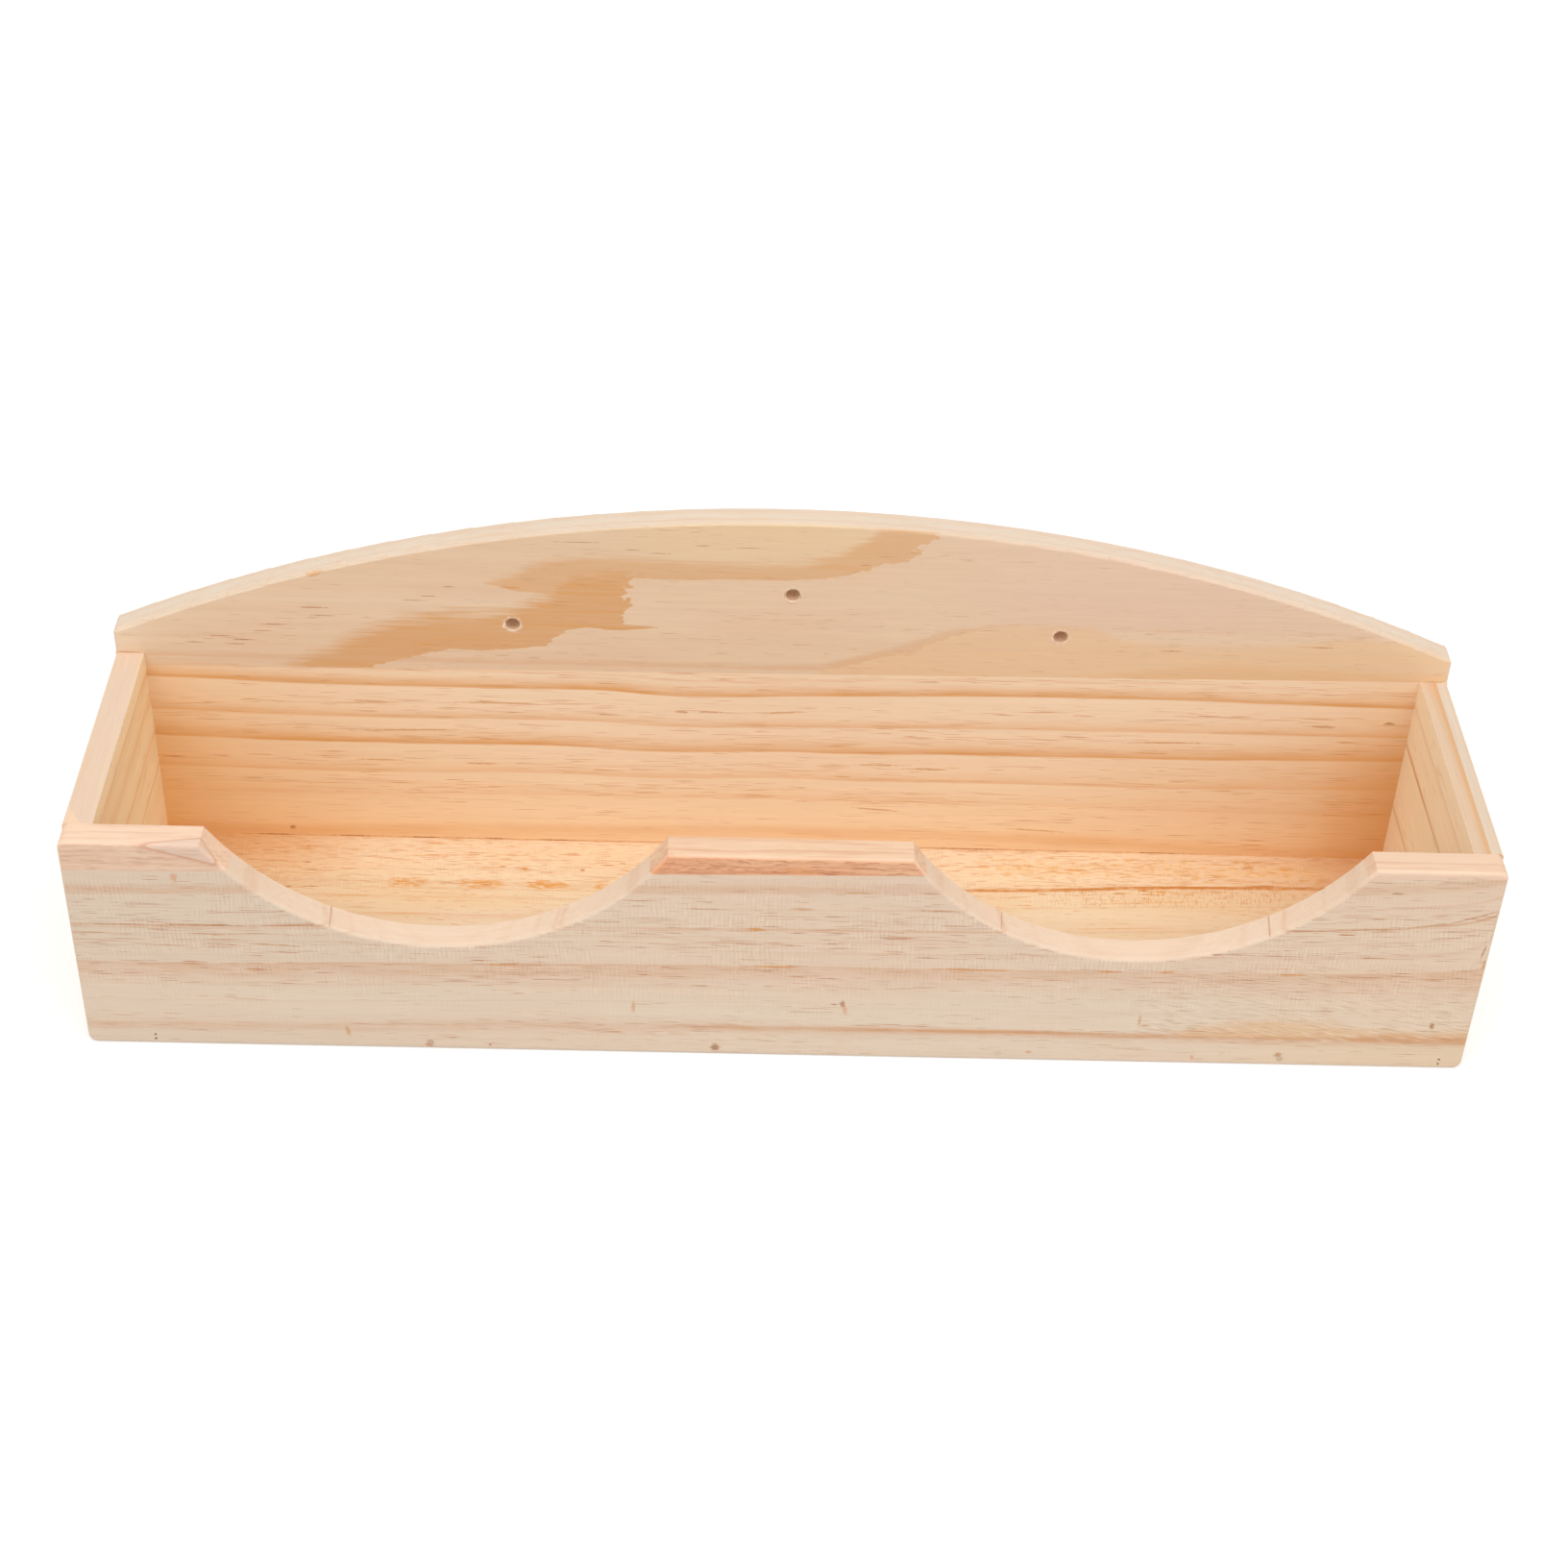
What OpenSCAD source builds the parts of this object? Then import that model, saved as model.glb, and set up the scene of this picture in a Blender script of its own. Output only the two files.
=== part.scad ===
// Hay feeder box: an open pine trough for small pets, made of thin glued boards.
// Millimetres. +Z is up, X runs along the width and the front faces -Y.
// The origin lies under the middle of the box, on the face it stands on.

/* [Body] */
// Width of the whole box
body_w = 400; // [380:5:450]
// Clear depth between the front board and the back board
inner_d = 80.5; // [60:0.5:110]
// Height of the front board and the side boards
front_h = 75; // [74:1:82]
// Height of the back board at its two ends
back_end_h = 83; // [83:1:95]
// Height of the back board at the top of its arch
back_h = 126.5; // [120:0.5:150]

/* [Boards] */
// Thickness of the front, side and back boards, all cut from one stock
board_t = 8.5; // [7.5:0.5:10]
// Thickness of the floor board
floor_t = 5.5; // [5:0.1:8]
// Rounding left by sanding along the outer edges
ease_r = 1.2; // [0.6:0.1:1.8]
// Rounding of the four corners of the front board, seen from the front
corner_r = 2.6; // [2:0.2:5]
// Wear at the two tips where the arch meets the ends of the back board
tip_wear = 0.6; // [0.3:0.1:1]

/* [Scoops] */
// Width of each scoop along the top edge of the front board
scoop_w = 128; // [100:1:130]
// Depth of each scoop below that edge
scoop_depth = 34.8; // [22:0.2:42]
// Width of the centre tab between the two scoops
centre_tab_w = 68; // [50:1:72]
// How far the pair of scoops sits to the right of the middle
scoop_shift = 1; // [-3:0.5:3]

/* [Glue lines] */
// Depth of the front glue line below the top edge, at the middle
front_glue_drop = 6; // [5.5:0.5:12]
// Slope of the front glue line in degrees, rising to the right
front_glue_tilt = 1.1; // [0:0.1:1.1]
// Depth of the back glue line below the top of the side boards, at the middle
back_glue_drop = 2.2; // [1.2:0.2:11]
// Slope of the back glue line in degrees, rising to the right
back_glue_tilt = 0.7; // [0:0.1:1]

/* [Screw holes] */
// Diameter of the three screw holes in the back board
screw_hole_d = 4.5; // [3:0.1:6]
// Distance between the two outer screw holes
screw_pitch = 162.8; // [120:0.2:200]
// Height of the two outer screw holes
screw_outer_h = 88.6; // [84:0.2:92]
// Height of the centre screw hole
screw_centre_h = 101.4; // [90:0.2:108]
// Distance of the centre screw hole from the middle
screw_centre_x = 1.2; // [-5:0.2:5]

/* [Pins] */
// Shank diameter of the floor pins and corner pins
pin_d = 1.2; // [0.8:0.1:1.6]
// Length of the floor pins and corner pins
pin_l = 20; // [16:1:24]
// Head diameter of the floor pins and corner pins
pin_head_d = 2; // [1.8:0.1:2.4]
// Head height of the floor pins and corner pins
pin_head_h = 0.8; // [0.6:0.1:1]
// Depth of the pin heads below the face of the board
pin_sink = 0.8; // [0.5:0.1:1.2]
// Shank diameter of the fine end pins
end_pin_d = 0.8; // [0.6:0.1:0.9]
// Length of the fine end pins
end_pin_l = 18; // [16:1:22]
// Depth of the fine end pins below the front face
end_pin_sink = 0.5; // [0.3:0.1:0.8]
// Distance between the two fine pins of a pair
end_pin_gap = 1.7; // [1.4:0.1:2]
// Gap around a pin in its hole, on the diameter
pin_play = 0.04; // [0.02:0.02:0.1]
// Spacing of the floor pins along the front and back boards
floor_pin_pitch = 82.5; // [60:0.5:90]
// How far the row of front floor pins sits to the right of the middle
floor_pin_shift = 22.5; // [0:0.5:30]
// Spacing of the floor pins along a side board
side_pin_pitch = 46; // [30:1:50]
// Height of the lower corner pin in the back board
corner_pin_h = 20; // [14:1:26]
// Spacing of the corner pins, one above the other
corner_pin_pitch = 36; // [24:1:40]
// Distance of the left pair of fine pins from the left end
end_pin_left = 19.5; // [14:0.5:30]
// Distance of the right pair of fine pins from the right end
end_pin_right = 7; // [5:0.1:7.2]

/* [Hidden] */

// Small overshoot that lets a cut run clear of a face
over = 1;
// Facets of the large arcs and of the small round pieces
arc_fn = 240;
round_fn = 48;
pin_fn = 24;
// Floor pins in a row and corner pins in a stack
floor_pin_count = 4;
corner_pin_count = 2;

// Faces of the boards from front to back
depth = inner_d + 2 * board_t;
front_y = -depth / 2;
front_in_y = front_y + board_t;
back_y = depth / 2 - board_t;
rear_y = depth / 2;
side_x = body_w / 2;
side_in_x = side_x - board_t;

// The arch: a circle through both ends and the top of the back board
arch_rise = back_h - back_end_h;
arch_r = (pow(arch_rise, 2) + pow(side_x, 2)) / (2 * arch_rise);
arch_z = back_h - arch_r;

// Slope of the arch where it meets the end of the board
tip_angle = asin(side_x / arch_r);

// The scoop: a circle through both ends and the bottom of the scoop
scoop_r = (pow(scoop_depth, 2) + pow(scoop_w / 2, 2)) / (2 * scoop_depth);
scoop_z = front_h - scoop_depth + scoop_r;
scoop_x = (centre_tab_w + scoop_w) / 2;

front_glue_h = front_h - front_glue_drop;
back_glue_h = front_h - back_glue_drop;
floor_pin_z = floor_t / 2;
pin_point_l = 2 * pin_d;

wood_front = [0.87, 0.77, 0.66];
wood_strip = [0.86, 0.68, 0.54];
wood_back = [0.91, 0.76, 0.60];
wood_inner = [0.93, 0.74, 0.53];
wood_floor = [0.98, 0.83, 0.64];
filler_tone = [0.70, 0.50, 0.34];
steel_tone = [0.62, 0.62, 0.62];

// Sharp corner of an edge at the origin, outside a quarter round; the wood lies
// towards +X and +Y
module edge_profile() {
    difference() {
        translate([-over, -over]) square(ease_r + over);
        translate([ease_r, ease_r]) circle(r = ease_r, $fn = round_fn);
    }
}

// Cutter for an upright edge, turned about it in quarter turns
module edge_cut_z(length, turn) {
    rotate([0, 0, turn])
        linear_extrude(height = length) edge_profile();
}

// Cutter for an edge along X, centred on the middle of the box
module edge_cut_x(length, turn) {
    translate([-length / 2, 0, 0])
        rotate([90, 0, 90]) edge_cut_z(length, turn);
}

// Cutter for an edge along Y, starting at y = 0
module edge_cut_y(length, turn) {
    rotate([-90, 0, 0]) edge_cut_z(length, turn);
}

// Disc as thick as a board, standing in the XZ plane behind y = 0, with an eased
// front rim and, where rear is true, an eased rear rim
module eased_disc(r, rear, fn) {
    rotate([-90, 0, 0])
        rotate_extrude($fn = fn)
            difference() {
                square([r, rear ? board_t : board_t + 2 * over]);
                translate([r, 0]) rotate(90) edge_profile();
                if (rear) {
                    translate([r, board_t]) rotate(180) edge_profile();
                }
            }
}

// Cutter for a scoop: a round opening whose front rim flares outwards
module scoop_cut() {
    rotate([-90, 0, 0])
        rotate_extrude($fn = arc_fn) {
            translate([0, -over]) square([scoop_r, board_t + 2 * over]);
            difference() {
                translate([0, -over]) square([scoop_r + ease_r, ease_r + over]);
                translate([scoop_r + ease_r, ease_r]) circle(r = ease_r, $fn = round_fn);
            }
        }
}

// Cutter that rounds the front board's corner towards x_dir and z_dir
module front_corner_cut(x_dir, z_dir) {
    difference() {
        translate([x_dir > 0 ? 0 : -corner_r - over, -over, z_dir > 0 ? 0 : -corner_r - over])
            cube([corner_r + over, board_t + 2 * over, corner_r + over]);
        eased_disc(corner_r, false, round_fn);
    }
}

// Cutter that wears the tip of the back board off, on the +X side
module tip_cut() {
    translate([side_x, back_y - over, back_end_h])
        rotate([0, (tip_angle - 90) / 2, 0])
            translate([-tip_wear, 0, -board_t])
                cube([board_t, board_t + 2 * over, 2 * board_t]);
}

// Floor pin or corner pin along +Y, its head face at y = 0, grown by extra on the diameter
module pin_shape(extra) {
    rotate([-90, 0, 0]) {
        cylinder(d = pin_head_d + extra, h = pin_head_h + extra / 2, $fn = pin_fn);
        cylinder(d = pin_d + extra, h = pin_l - pin_point_l, $fn = pin_fn);
        translate([0, 0, pin_l - pin_point_l])
            cylinder(d1 = pin_d + extra, d2 = pin_d / 4 + extra, h = pin_point_l + extra / 2, $fn = pin_fn);
    }
}

// Hole of such a pin, opened out to the face of the board it was driven from
module pin_hole() {
    pin_shape(pin_play);
    rotate([90, 0, 0])
        translate([0, 0, -over / 4])
            cylinder(d = pin_head_d + pin_play, h = pin_sink + over, $fn = pin_fn);
}

// Fine headless pin along +Y from y = 0
module fine_pin(extra) {
    rotate([-90, 0, 0])
        cylinder(d = end_pin_d + extra, h = end_pin_l + extra / 2, $fn = pin_fn);
}

// Hole of the fine pin, opened out to the front face
module fine_pin_hole() {
    fine_pin(pin_play);
    rotate([90, 0, 0])
        translate([0, 0, -over / 4])
            cylinder(d = end_pin_d + pin_play, h = end_pin_sink + over, $fn = pin_fn);
}

// Places of the floor pins along the front board
module at_front_floor_pins() {
    for (i = [0 : floor_pin_count - 1]) {
        x = floor_pin_shift + (i - (floor_pin_count - 1) / 2) * floor_pin_pitch;
        translate([x, front_y + pin_sink, floor_pin_z]) children();
    }
}

// Places of the fine pins: a pair at each end of the front board
module at_front_end_pins() {
    for (x = [-side_x + end_pin_left, side_x - end_pin_right]) {
        for (z = [-end_pin_gap / 2, end_pin_gap / 2]) {
            translate([x, front_y + end_pin_sink, floor_pin_z + z]) children();
        }
    }
}

// Places of the floor pins along the back board, driven from behind
module at_back_floor_pins() {
    for (i = [0 : floor_pin_count - 1]) {
        x = (i - (floor_pin_count - 1) / 2) * floor_pin_pitch;
        translate([x, rear_y - pin_sink, floor_pin_z]) rotate([0, 0, 180]) children();
    }
}

// Places of the corner pins on the side x_dir, driven from behind
module at_corner_pins(x_dir) {
    for (i = [0 : corner_pin_count - 1]) {
        z = corner_pin_h + i * corner_pin_pitch;
        translate([x_dir * (side_x - board_t / 2), rear_y - pin_sink, z])
            rotate([0, 0, 180]) children();
    }
}

// Places of the floor pins in the side board on the side x_dir
module at_side_floor_pins(x_dir) {
    for (y = [-side_pin_pitch / 2, side_pin_pitch / 2]) {
        translate([x_dir * (side_x - pin_sink), y + (front_in_y + back_y) / 2, floor_pin_z])
            rotate([0, 0, x_dir * 90]) children();
    }
}

// Space on one side of a sloping glue line, over the thickness of a board
module glue_side(y, z, tilt, below) {
    translate([0, y - over, z])
        rotate([0, -tilt, 0])
            translate([-body_w, 0, below ? -back_h : 0])
                cube([2 * body_w, board_t + 2 * over, back_h]);
}

// The whole glued front panel, cut to shape
module front_panel() {
    difference() {
        translate([-side_x, front_y, 0]) cube([body_w, board_t, front_h]);
        for (dir = [-1, 1]) {
            translate([scoop_shift + dir * scoop_x, front_y, scoop_z]) scoop_cut();
            translate([dir * side_x, front_y, -over]) edge_cut_z(front_h + 2 * over, dir < 0 ? 0 : 90);
            translate([dir * (side_x - corner_r), front_y, corner_r]) front_corner_cut(dir, -1);
            translate([dir * (side_x - corner_r), front_y, front_h - corner_r]) front_corner_cut(dir, 1);
        }
        translate([0, front_y, 0]) edge_cut_x(body_w + 2 * over, 0);
        translate([0, front_y, front_h]) edge_cut_x(body_w + 2 * over, 270);
        at_front_floor_pins() pin_hole();
        at_front_end_pins() fine_pin_hole();
    }
}

// One tab of the narrow top stave, between two places along X
module front_tab(x_from, x_to) {
    intersection() {
        front_panel();
        glue_side(front_y, front_glue_h, front_glue_tilt, false);
        translate([x_from, front_y - over, 0]) cube([x_to - x_from, board_t + 2 * over, front_h + over]);
    }
}

// The whole glued back panel, cut to its arch and drilled
module back_panel() {
    difference() {
        intersection() {
            translate([-side_x, back_y, 0]) cube([body_w, board_t, back_h + over]);
            translate([0, back_y, arch_z]) eased_disc(arch_r, true, arc_fn);
        }
        for (dir = [-1, 1]) {
            translate([dir * side_x, rear_y, -over]) edge_cut_z(back_h + 2 * over, dir < 0 ? 270 : 180);
            translate([dir * side_x, back_y, front_h]) edge_cut_z(back_h, dir < 0 ? 0 : 90);
            at_corner_pins(dir) pin_hole();
        }
        tip_cut();
        mirror([1, 0, 0]) tip_cut();
        for (x = [-screw_pitch / 2, screw_pitch / 2]) {
            translate([x, back_y - over, screw_outer_h]) screw_hole();
        }
        translate([screw_centre_x, back_y - over, screw_centre_h]) screw_hole();
        at_back_floor_pins() pin_hole();
    }
}

// Screw hole through the back board
module screw_hole() {
    rotate([-90, 0, 0]) cylinder(d = screw_hole_d, h = board_t + 2 * over, $fn = round_fn);
}

// Side board between the front and back boards, on the side x_dir
module side_board(x_dir) {
    difference() {
        translate([x_dir > 0 ? side_in_x : -side_x, front_in_y, 0]) cube([board_t, inner_d, front_h]);
        translate([x_dir * side_x, front_in_y - over, front_h])
            edge_cut_y(inner_d + 2 * over, x_dir < 0 ? 0 : 90);
        at_corner_pins(x_dir) pin_hole();
        at_side_floor_pins(x_dir) pin_hole();
        at_front_end_pins() fine_pin_hole();
    }
}

module front_lower_stave() {
    color(wood_front)
        intersection() {
            front_panel();
            glue_side(front_y, front_glue_h, front_glue_tilt, true);
        }
}

module front_left_tab() {
    color(wood_strip) front_tab(-side_x - over, scoop_shift - scoop_x);
}

module front_centre_tab() {
    color(wood_strip) front_tab(scoop_shift - scoop_x, scoop_shift + scoop_x);
}

module front_right_tab() {
    color(wood_strip) front_tab(scoop_shift + scoop_x, side_x + over);
}

module back_lower_stave() {
    color(wood_inner)
        intersection() {
            back_panel();
            glue_side(back_y, back_glue_h, back_glue_tilt, true);
        }
}

module back_upper_stave() {
    color(wood_back)
        intersection() {
            back_panel();
            glue_side(back_y, back_glue_h, back_glue_tilt, false);
        }
}

module left_side_board() {
    color(wood_inner) side_board(-1);
}

module right_side_board() {
    color(wood_inner) side_board(1);
}

module floor_board() {
    color(wood_floor)
        difference() {
            translate([-side_in_x, front_in_y, 0]) cube([2 * side_in_x, inner_d, floor_t]);
            at_front_floor_pins() pin_hole();
            at_front_end_pins() fine_pin_hole();
            at_back_floor_pins() pin_hole();
            at_side_floor_pins(-1) pin_hole();
            at_side_floor_pins(1) pin_hole();
        }
}

module front_floor_pins() {
    color(steel_tone) at_front_floor_pins() pin_shape(0);
}

module front_pin_fillers() {
    color(filler_tone)
        at_front_floor_pins()
            rotate([90, 0, 0]) cylinder(d = pin_head_d, h = pin_sink, $fn = pin_fn);
}

module front_end_pins() {
    color(steel_tone) at_front_end_pins() fine_pin(0);
}

module back_floor_pins() {
    color(steel_tone) at_back_floor_pins() pin_shape(0);
}

module back_left_corner_pins() {
    color(steel_tone) at_corner_pins(-1) pin_shape(0);
}

module back_right_corner_pins() {
    color(steel_tone) at_corner_pins(1) pin_shape(0);
}

module left_floor_pins() {
    color(steel_tone) at_side_floor_pins(-1) pin_shape(0);
}

module right_floor_pins() {
    color(steel_tone) at_side_floor_pins(1) pin_shape(0);
}

front_lower_stave();
front_left_tab();
front_centre_tab();
front_right_tab();
back_lower_stave();
back_upper_stave();
left_side_board();
right_side_board();
floor_board();
front_floor_pins();
front_pin_fillers();
front_end_pins();
back_floor_pins();
back_left_corner_pins();
back_right_corner_pins();
left_floor_pins();
right_floor_pins();
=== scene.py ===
"""Looks of a hay feeder box: an open trough of thin bare pine boards.

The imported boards, pins and fillers are the fixed frame. Each board gets a smooth
copy and its own pine, drawn as a solid pattern so that the grain runs round the
edges: the growth rings of that stave, resin canals, fibres and saw marks.
"""

import logging
import math
from dataclasses import dataclass, field, replace
from enum import Enum

import bmesh
import bpy
import numpy as np
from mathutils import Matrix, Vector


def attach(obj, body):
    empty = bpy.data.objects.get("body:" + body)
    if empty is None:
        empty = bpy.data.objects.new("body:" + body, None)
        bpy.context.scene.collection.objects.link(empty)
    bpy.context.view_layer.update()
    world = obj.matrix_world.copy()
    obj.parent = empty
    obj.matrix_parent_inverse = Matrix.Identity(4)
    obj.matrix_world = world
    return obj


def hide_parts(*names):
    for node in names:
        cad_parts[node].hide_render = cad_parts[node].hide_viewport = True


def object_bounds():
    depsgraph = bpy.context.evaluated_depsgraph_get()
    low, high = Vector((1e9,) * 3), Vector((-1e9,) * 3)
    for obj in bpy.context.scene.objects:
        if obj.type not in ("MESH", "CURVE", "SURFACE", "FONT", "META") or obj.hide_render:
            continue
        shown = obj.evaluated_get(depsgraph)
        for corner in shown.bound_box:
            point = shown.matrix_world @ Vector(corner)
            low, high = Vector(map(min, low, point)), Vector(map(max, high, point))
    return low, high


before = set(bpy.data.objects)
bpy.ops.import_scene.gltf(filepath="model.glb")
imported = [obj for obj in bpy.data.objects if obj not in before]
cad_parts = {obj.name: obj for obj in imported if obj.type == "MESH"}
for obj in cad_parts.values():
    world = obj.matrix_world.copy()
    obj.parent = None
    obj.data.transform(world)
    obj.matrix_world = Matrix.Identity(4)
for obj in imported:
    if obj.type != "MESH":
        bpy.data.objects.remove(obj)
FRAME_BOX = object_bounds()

LOG = logging.getLogger("hay_feeder_box")
MM = 0.001

Socket = bpy.types.NodeSocket
Inputs = dict[int | str, object]
Points = tuple[tuple[float, float], ...]
Triple = tuple[float, float, float]

# Grain of the noises that break up the wood: mm along the grain, across it and into it.
FIBRE = (9.0, 0.26, 0.26)
STRAND = (38.0, 1.1, 1.1)
CLOUD = (60.0, 14.0, 14.0)
RING_WAVE = (42.0, 9.0, 9.0)
CANAL_GROUP = (46.0, 2.6, 2.6)
EDGE_STREAK = (26.0, 1.6, 1.6)
PORE = (0.5, 0.5, 0.5)
FIGURE_FRAY = (3.5, 1.7, 1.7)
FIGURE_LIFT = (14.0, 1.0, 1.0)
MARK_FRAY = (1.2, 0.5, 0.5)
BORE_FRAY = (0.8, 0.6, 0.6)
SAW_GRIT = (0.45, 4.5, 4.5)
SAW_WANDER = (30.0, 12.0, 12.0)
SAW_GROUP = (20.0, 7.0, 7.0)
# Ranges that hold most of a noise, or the middle of it.
MOST = (0.3, 0.7)
MIDDLE = (0.35, 0.65)

# Ranges over which a look grows from none to all. The first two are of a noise.
CLOUDED = (0.42, 0.66)
STREAKED = (0.46, 0.68)
# These are of the normal's share along the axis into the board, and the last one of its
# share along the grain.
SAWN_EDGE = (0.75, 0.25)
RIM_STARTS = (0.97, 0.65)
RIM_ENDS = (0.12, 0.5)
LEVEL = (0.8, 0.98)
END_GRAIN = (0.8, 0.96)
# This one is of the depth below the visible face, in mm.
SKIN = (2.6, 1.4)

# How much of the late wood shows on a sawn edge and on an end, and the pores' share there.
EDGE_COVER = 0.85
RING_ON_EDGE = 0.45
RING_ON_END = 0.8
PORE_SHARE = 0.3

# Changes of lightness by fibres and strands, and how much of them red, green and blue take:
# dark fibres are warmer than pale ones.
FIBRE_SHADE = (0.16, -0.14)
STRAND_SHADE = 0.12
WARMTH = (0.8, 1.0, 1.25)
# Relief of the fibres, the late wood, the resin canals and the saw marks, in mm.
FIBRE_RISE, LATE_RISE, CANAL_RISE, SAW_RISE = 0.035, 0.02, -0.006, 0.6

# How rough the early and the late wood are, and the pine's refraction and relief.
ROUGHNESS = (0.66, 0.52)
REFRACTION = 1.5
RELIEF = 0.7
# How much of gap_depth the stronger stretches of a ring gain.
STRONG_SHARE = 0.7

# Resin canals are where a noise, raised in groups and rows, passes a bar. The bar is lower
# where they lie close, and they are whole a little above it.
GROUP_RAISE = 0.34
ROW_RAISE = 0.10
CANAL_BAR = 0.94
CLOSE_LOWERS = 0.10
CANAL_EDGE = 0.03

# Saw marks: their distance in mm, their lean and the wander of their phase in radians, the
# share of even marks in them, the range of a noise that groups them, their strength in the
# weakest and strongest groups, and their strength as a whole.
SAW_PITCH = 1.25
SAW_LEAN = 0.03
SAW_SWING = 14.0
SAW_EVEN = 0.4
SAW_GROUPED = (0.38, 0.66, 0.1, 1.0)
SAW_STRENGTH = 0.07

# How far a figure moves along and across the grain for each mm of depth, how far its ends
# fray in mm, and how its strength varies with the strands.
FIGURE_LEAN = (1.7, 0.45, 0.0)
FRAY_REACH = 13.0
LIFT_REACH = 1.4
FIGURE_RANGE = (0.76, 1.2)

# How soon a stroke of torn grain is whole.
STROKE_EDGE = 0.15
# Single marks, in half lengths: how far their edge frays, how far off it is below the skin,
# and where it starts and where the mark is whole.
MARK_RAGGED = 1.4
MARK_SUNK = 3.0
MARK_EDGE = (1.8, 1.1)
# Rings that cut an edge: where their line and their reach are whole, as a share of it.
LINE_CORE = 0.3
REACH_CORE = 0.6

# Looks round a drilled hole, from the outer one in: how far its border frays, where it
# starts and is whole from the hole's radius, in mm, its strength and its colour.
TORN_WOOD = (-2.2, -0.2, -0.6, 0.4, "#F5E0C8")
BORE_RIM = (-1.3, -0.38, -0.55, 0.9, "#C2986F")
BORE_WALL = (0.0, 0.2, 0.06, 1.0, "#E8C4A0")

WHITE = (1.0, 1.0, 1.0, 1.0)


def linear(code: str) -> tuple[float, float, float, float]:
    """Turns an sRGB hex colour into the linear colour that Blender works in.

    Args:
        code: Six hex digits, with or without a leading #.

    Returns:
        Linear red, green and blue, and an alpha of 1.
    """
    digits = code.lstrip("#")
    parts = [int(digits[i : i + 2], 16) / 255 for i in (0, 2, 4)]
    low = [p / 12.92 if p <= 0.04045 else ((p + 0.055) / 1.055) ** 2.4 for p in parts]
    return (low[0], low[1], low[2], 1.0)


def placed(data: bpy.types.ID) -> bpy.types.Object:
    """Puts a mesh, lamp or camera into the scene.

    Args:
        data: The mesh, lamp or camera.

    Returns:
        The new object, of the same name.
    """
    made = bpy.data.objects.new(data.name, data)
    bpy.context.scene.collection.objects.link(made)
    return made


@dataclass(frozen=True)
class Kind:
    """A kind of shader node as it is used here.

    Attributes:
        type: The node's type, without the ShaderNode in front.
        settings: Its properties, set before its inputs.
        inputs: The inputs that take the values, in order, or nothing for the first ones.
        out: The output in use.
    """

    type: str
    settings: dict[str, object] = field(default_factory=dict)
    inputs: tuple[int | str, ...] = ()
    out: int | str = 0


# Kinds that work out numbers.
PLUS = Kind("Math", {"operation": "ADD"})
MINUS = Kind("Math", {"operation": "SUBTRACT"})
TIMES = Kind("Math", {"operation": "MULTIPLY"})
TIMES_WITHIN_ONE = Kind("Math", {"operation": "MULTIPLY", "use_clamp": True})
TIMES_PLUS = Kind("Math", {"operation": "MULTIPLY_ADD"})
GREATER = Kind("Math", {"operation": "MAXIMUM"})
ABSOLUTE = Kind("Math", {"operation": "ABSOLUTE"})
SINE = Kind("Math", {"operation": "SINE"})
# A value taken from one range to another: from low, from high, to low, to high.
RANGED = Kind("MapRange")
EASED = Kind("MapRange", {"interpolation_type": "SMOOTHSTEP"})
# Two numbers or colours mixed by a share from 0, all the first, to 1, all the second.
FADED = Kind("Mix", {"data_type": "FLOAT"}, (0, 2, 3))
BLENDED = Kind("Mix", {"data_type": "RGBA"}, (0, 6, 7), 2)
# Places and other vectors, and numbers worked out from them.
VECTOR = Kind("CombineXYZ")
PARTS = Kind("SeparateXYZ")
VECTOR_MINUS = Kind("VectorMath", {"operation": "SUBTRACT"})
VECTOR_TIMES = Kind("VectorMath", {"operation": "MULTIPLY"})
VECTOR_TIMES_PLUS = Kind("VectorMath", {"operation": "MULTIPLY_ADD"})
VECTOR_SCALED = Kind("VectorMath", {"operation": "SCALE"}, (0, "Scale"))
DOT = Kind("VectorMath", {"operation": "DOT_PRODUCT"}, out="Value")
LENGTH = Kind("VectorMath", {"operation": "LENGTH"}, out="Value")
DISTANCE = Kind("VectorMath", {"operation": "DISTANCE"}, out="Value")
# A place turned in the board's face, and one seen from a middle with a turn and a size.
LEANED = Kind("Mapping", {"vector_type": "TEXTURE"}, ("Vector", "Rotation"))
LOCAL = Kind("Mapping", {"vector_type": "TEXTURE"})
# Patterns and surfaces.
NOISE = Kind("TexNoise", inputs=("Vector", "Scale", "Detail"))
CURVE = Kind("FloatCurve", inputs=("Value",))
OBJECT_PLACE = Kind("TexCoord", out="Object")
NORMAL = Kind("NewGeometry", out="Normal")
BACK_FACING = Kind("NewGeometry", out="Backfacing")
BUMP = Kind("Bump", inputs=("Height", "Strength", "Distance"))
RAYS = Kind("LightPath")
MATT = Kind("BsdfDiffuse")
CLEAR = Kind("BsdfTransparent")
GLOW = Kind("Emission")
SUM = Kind("AddShader")
MIXTURE = Kind("MixShader")
BACKGROUND = Kind("Background")


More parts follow.
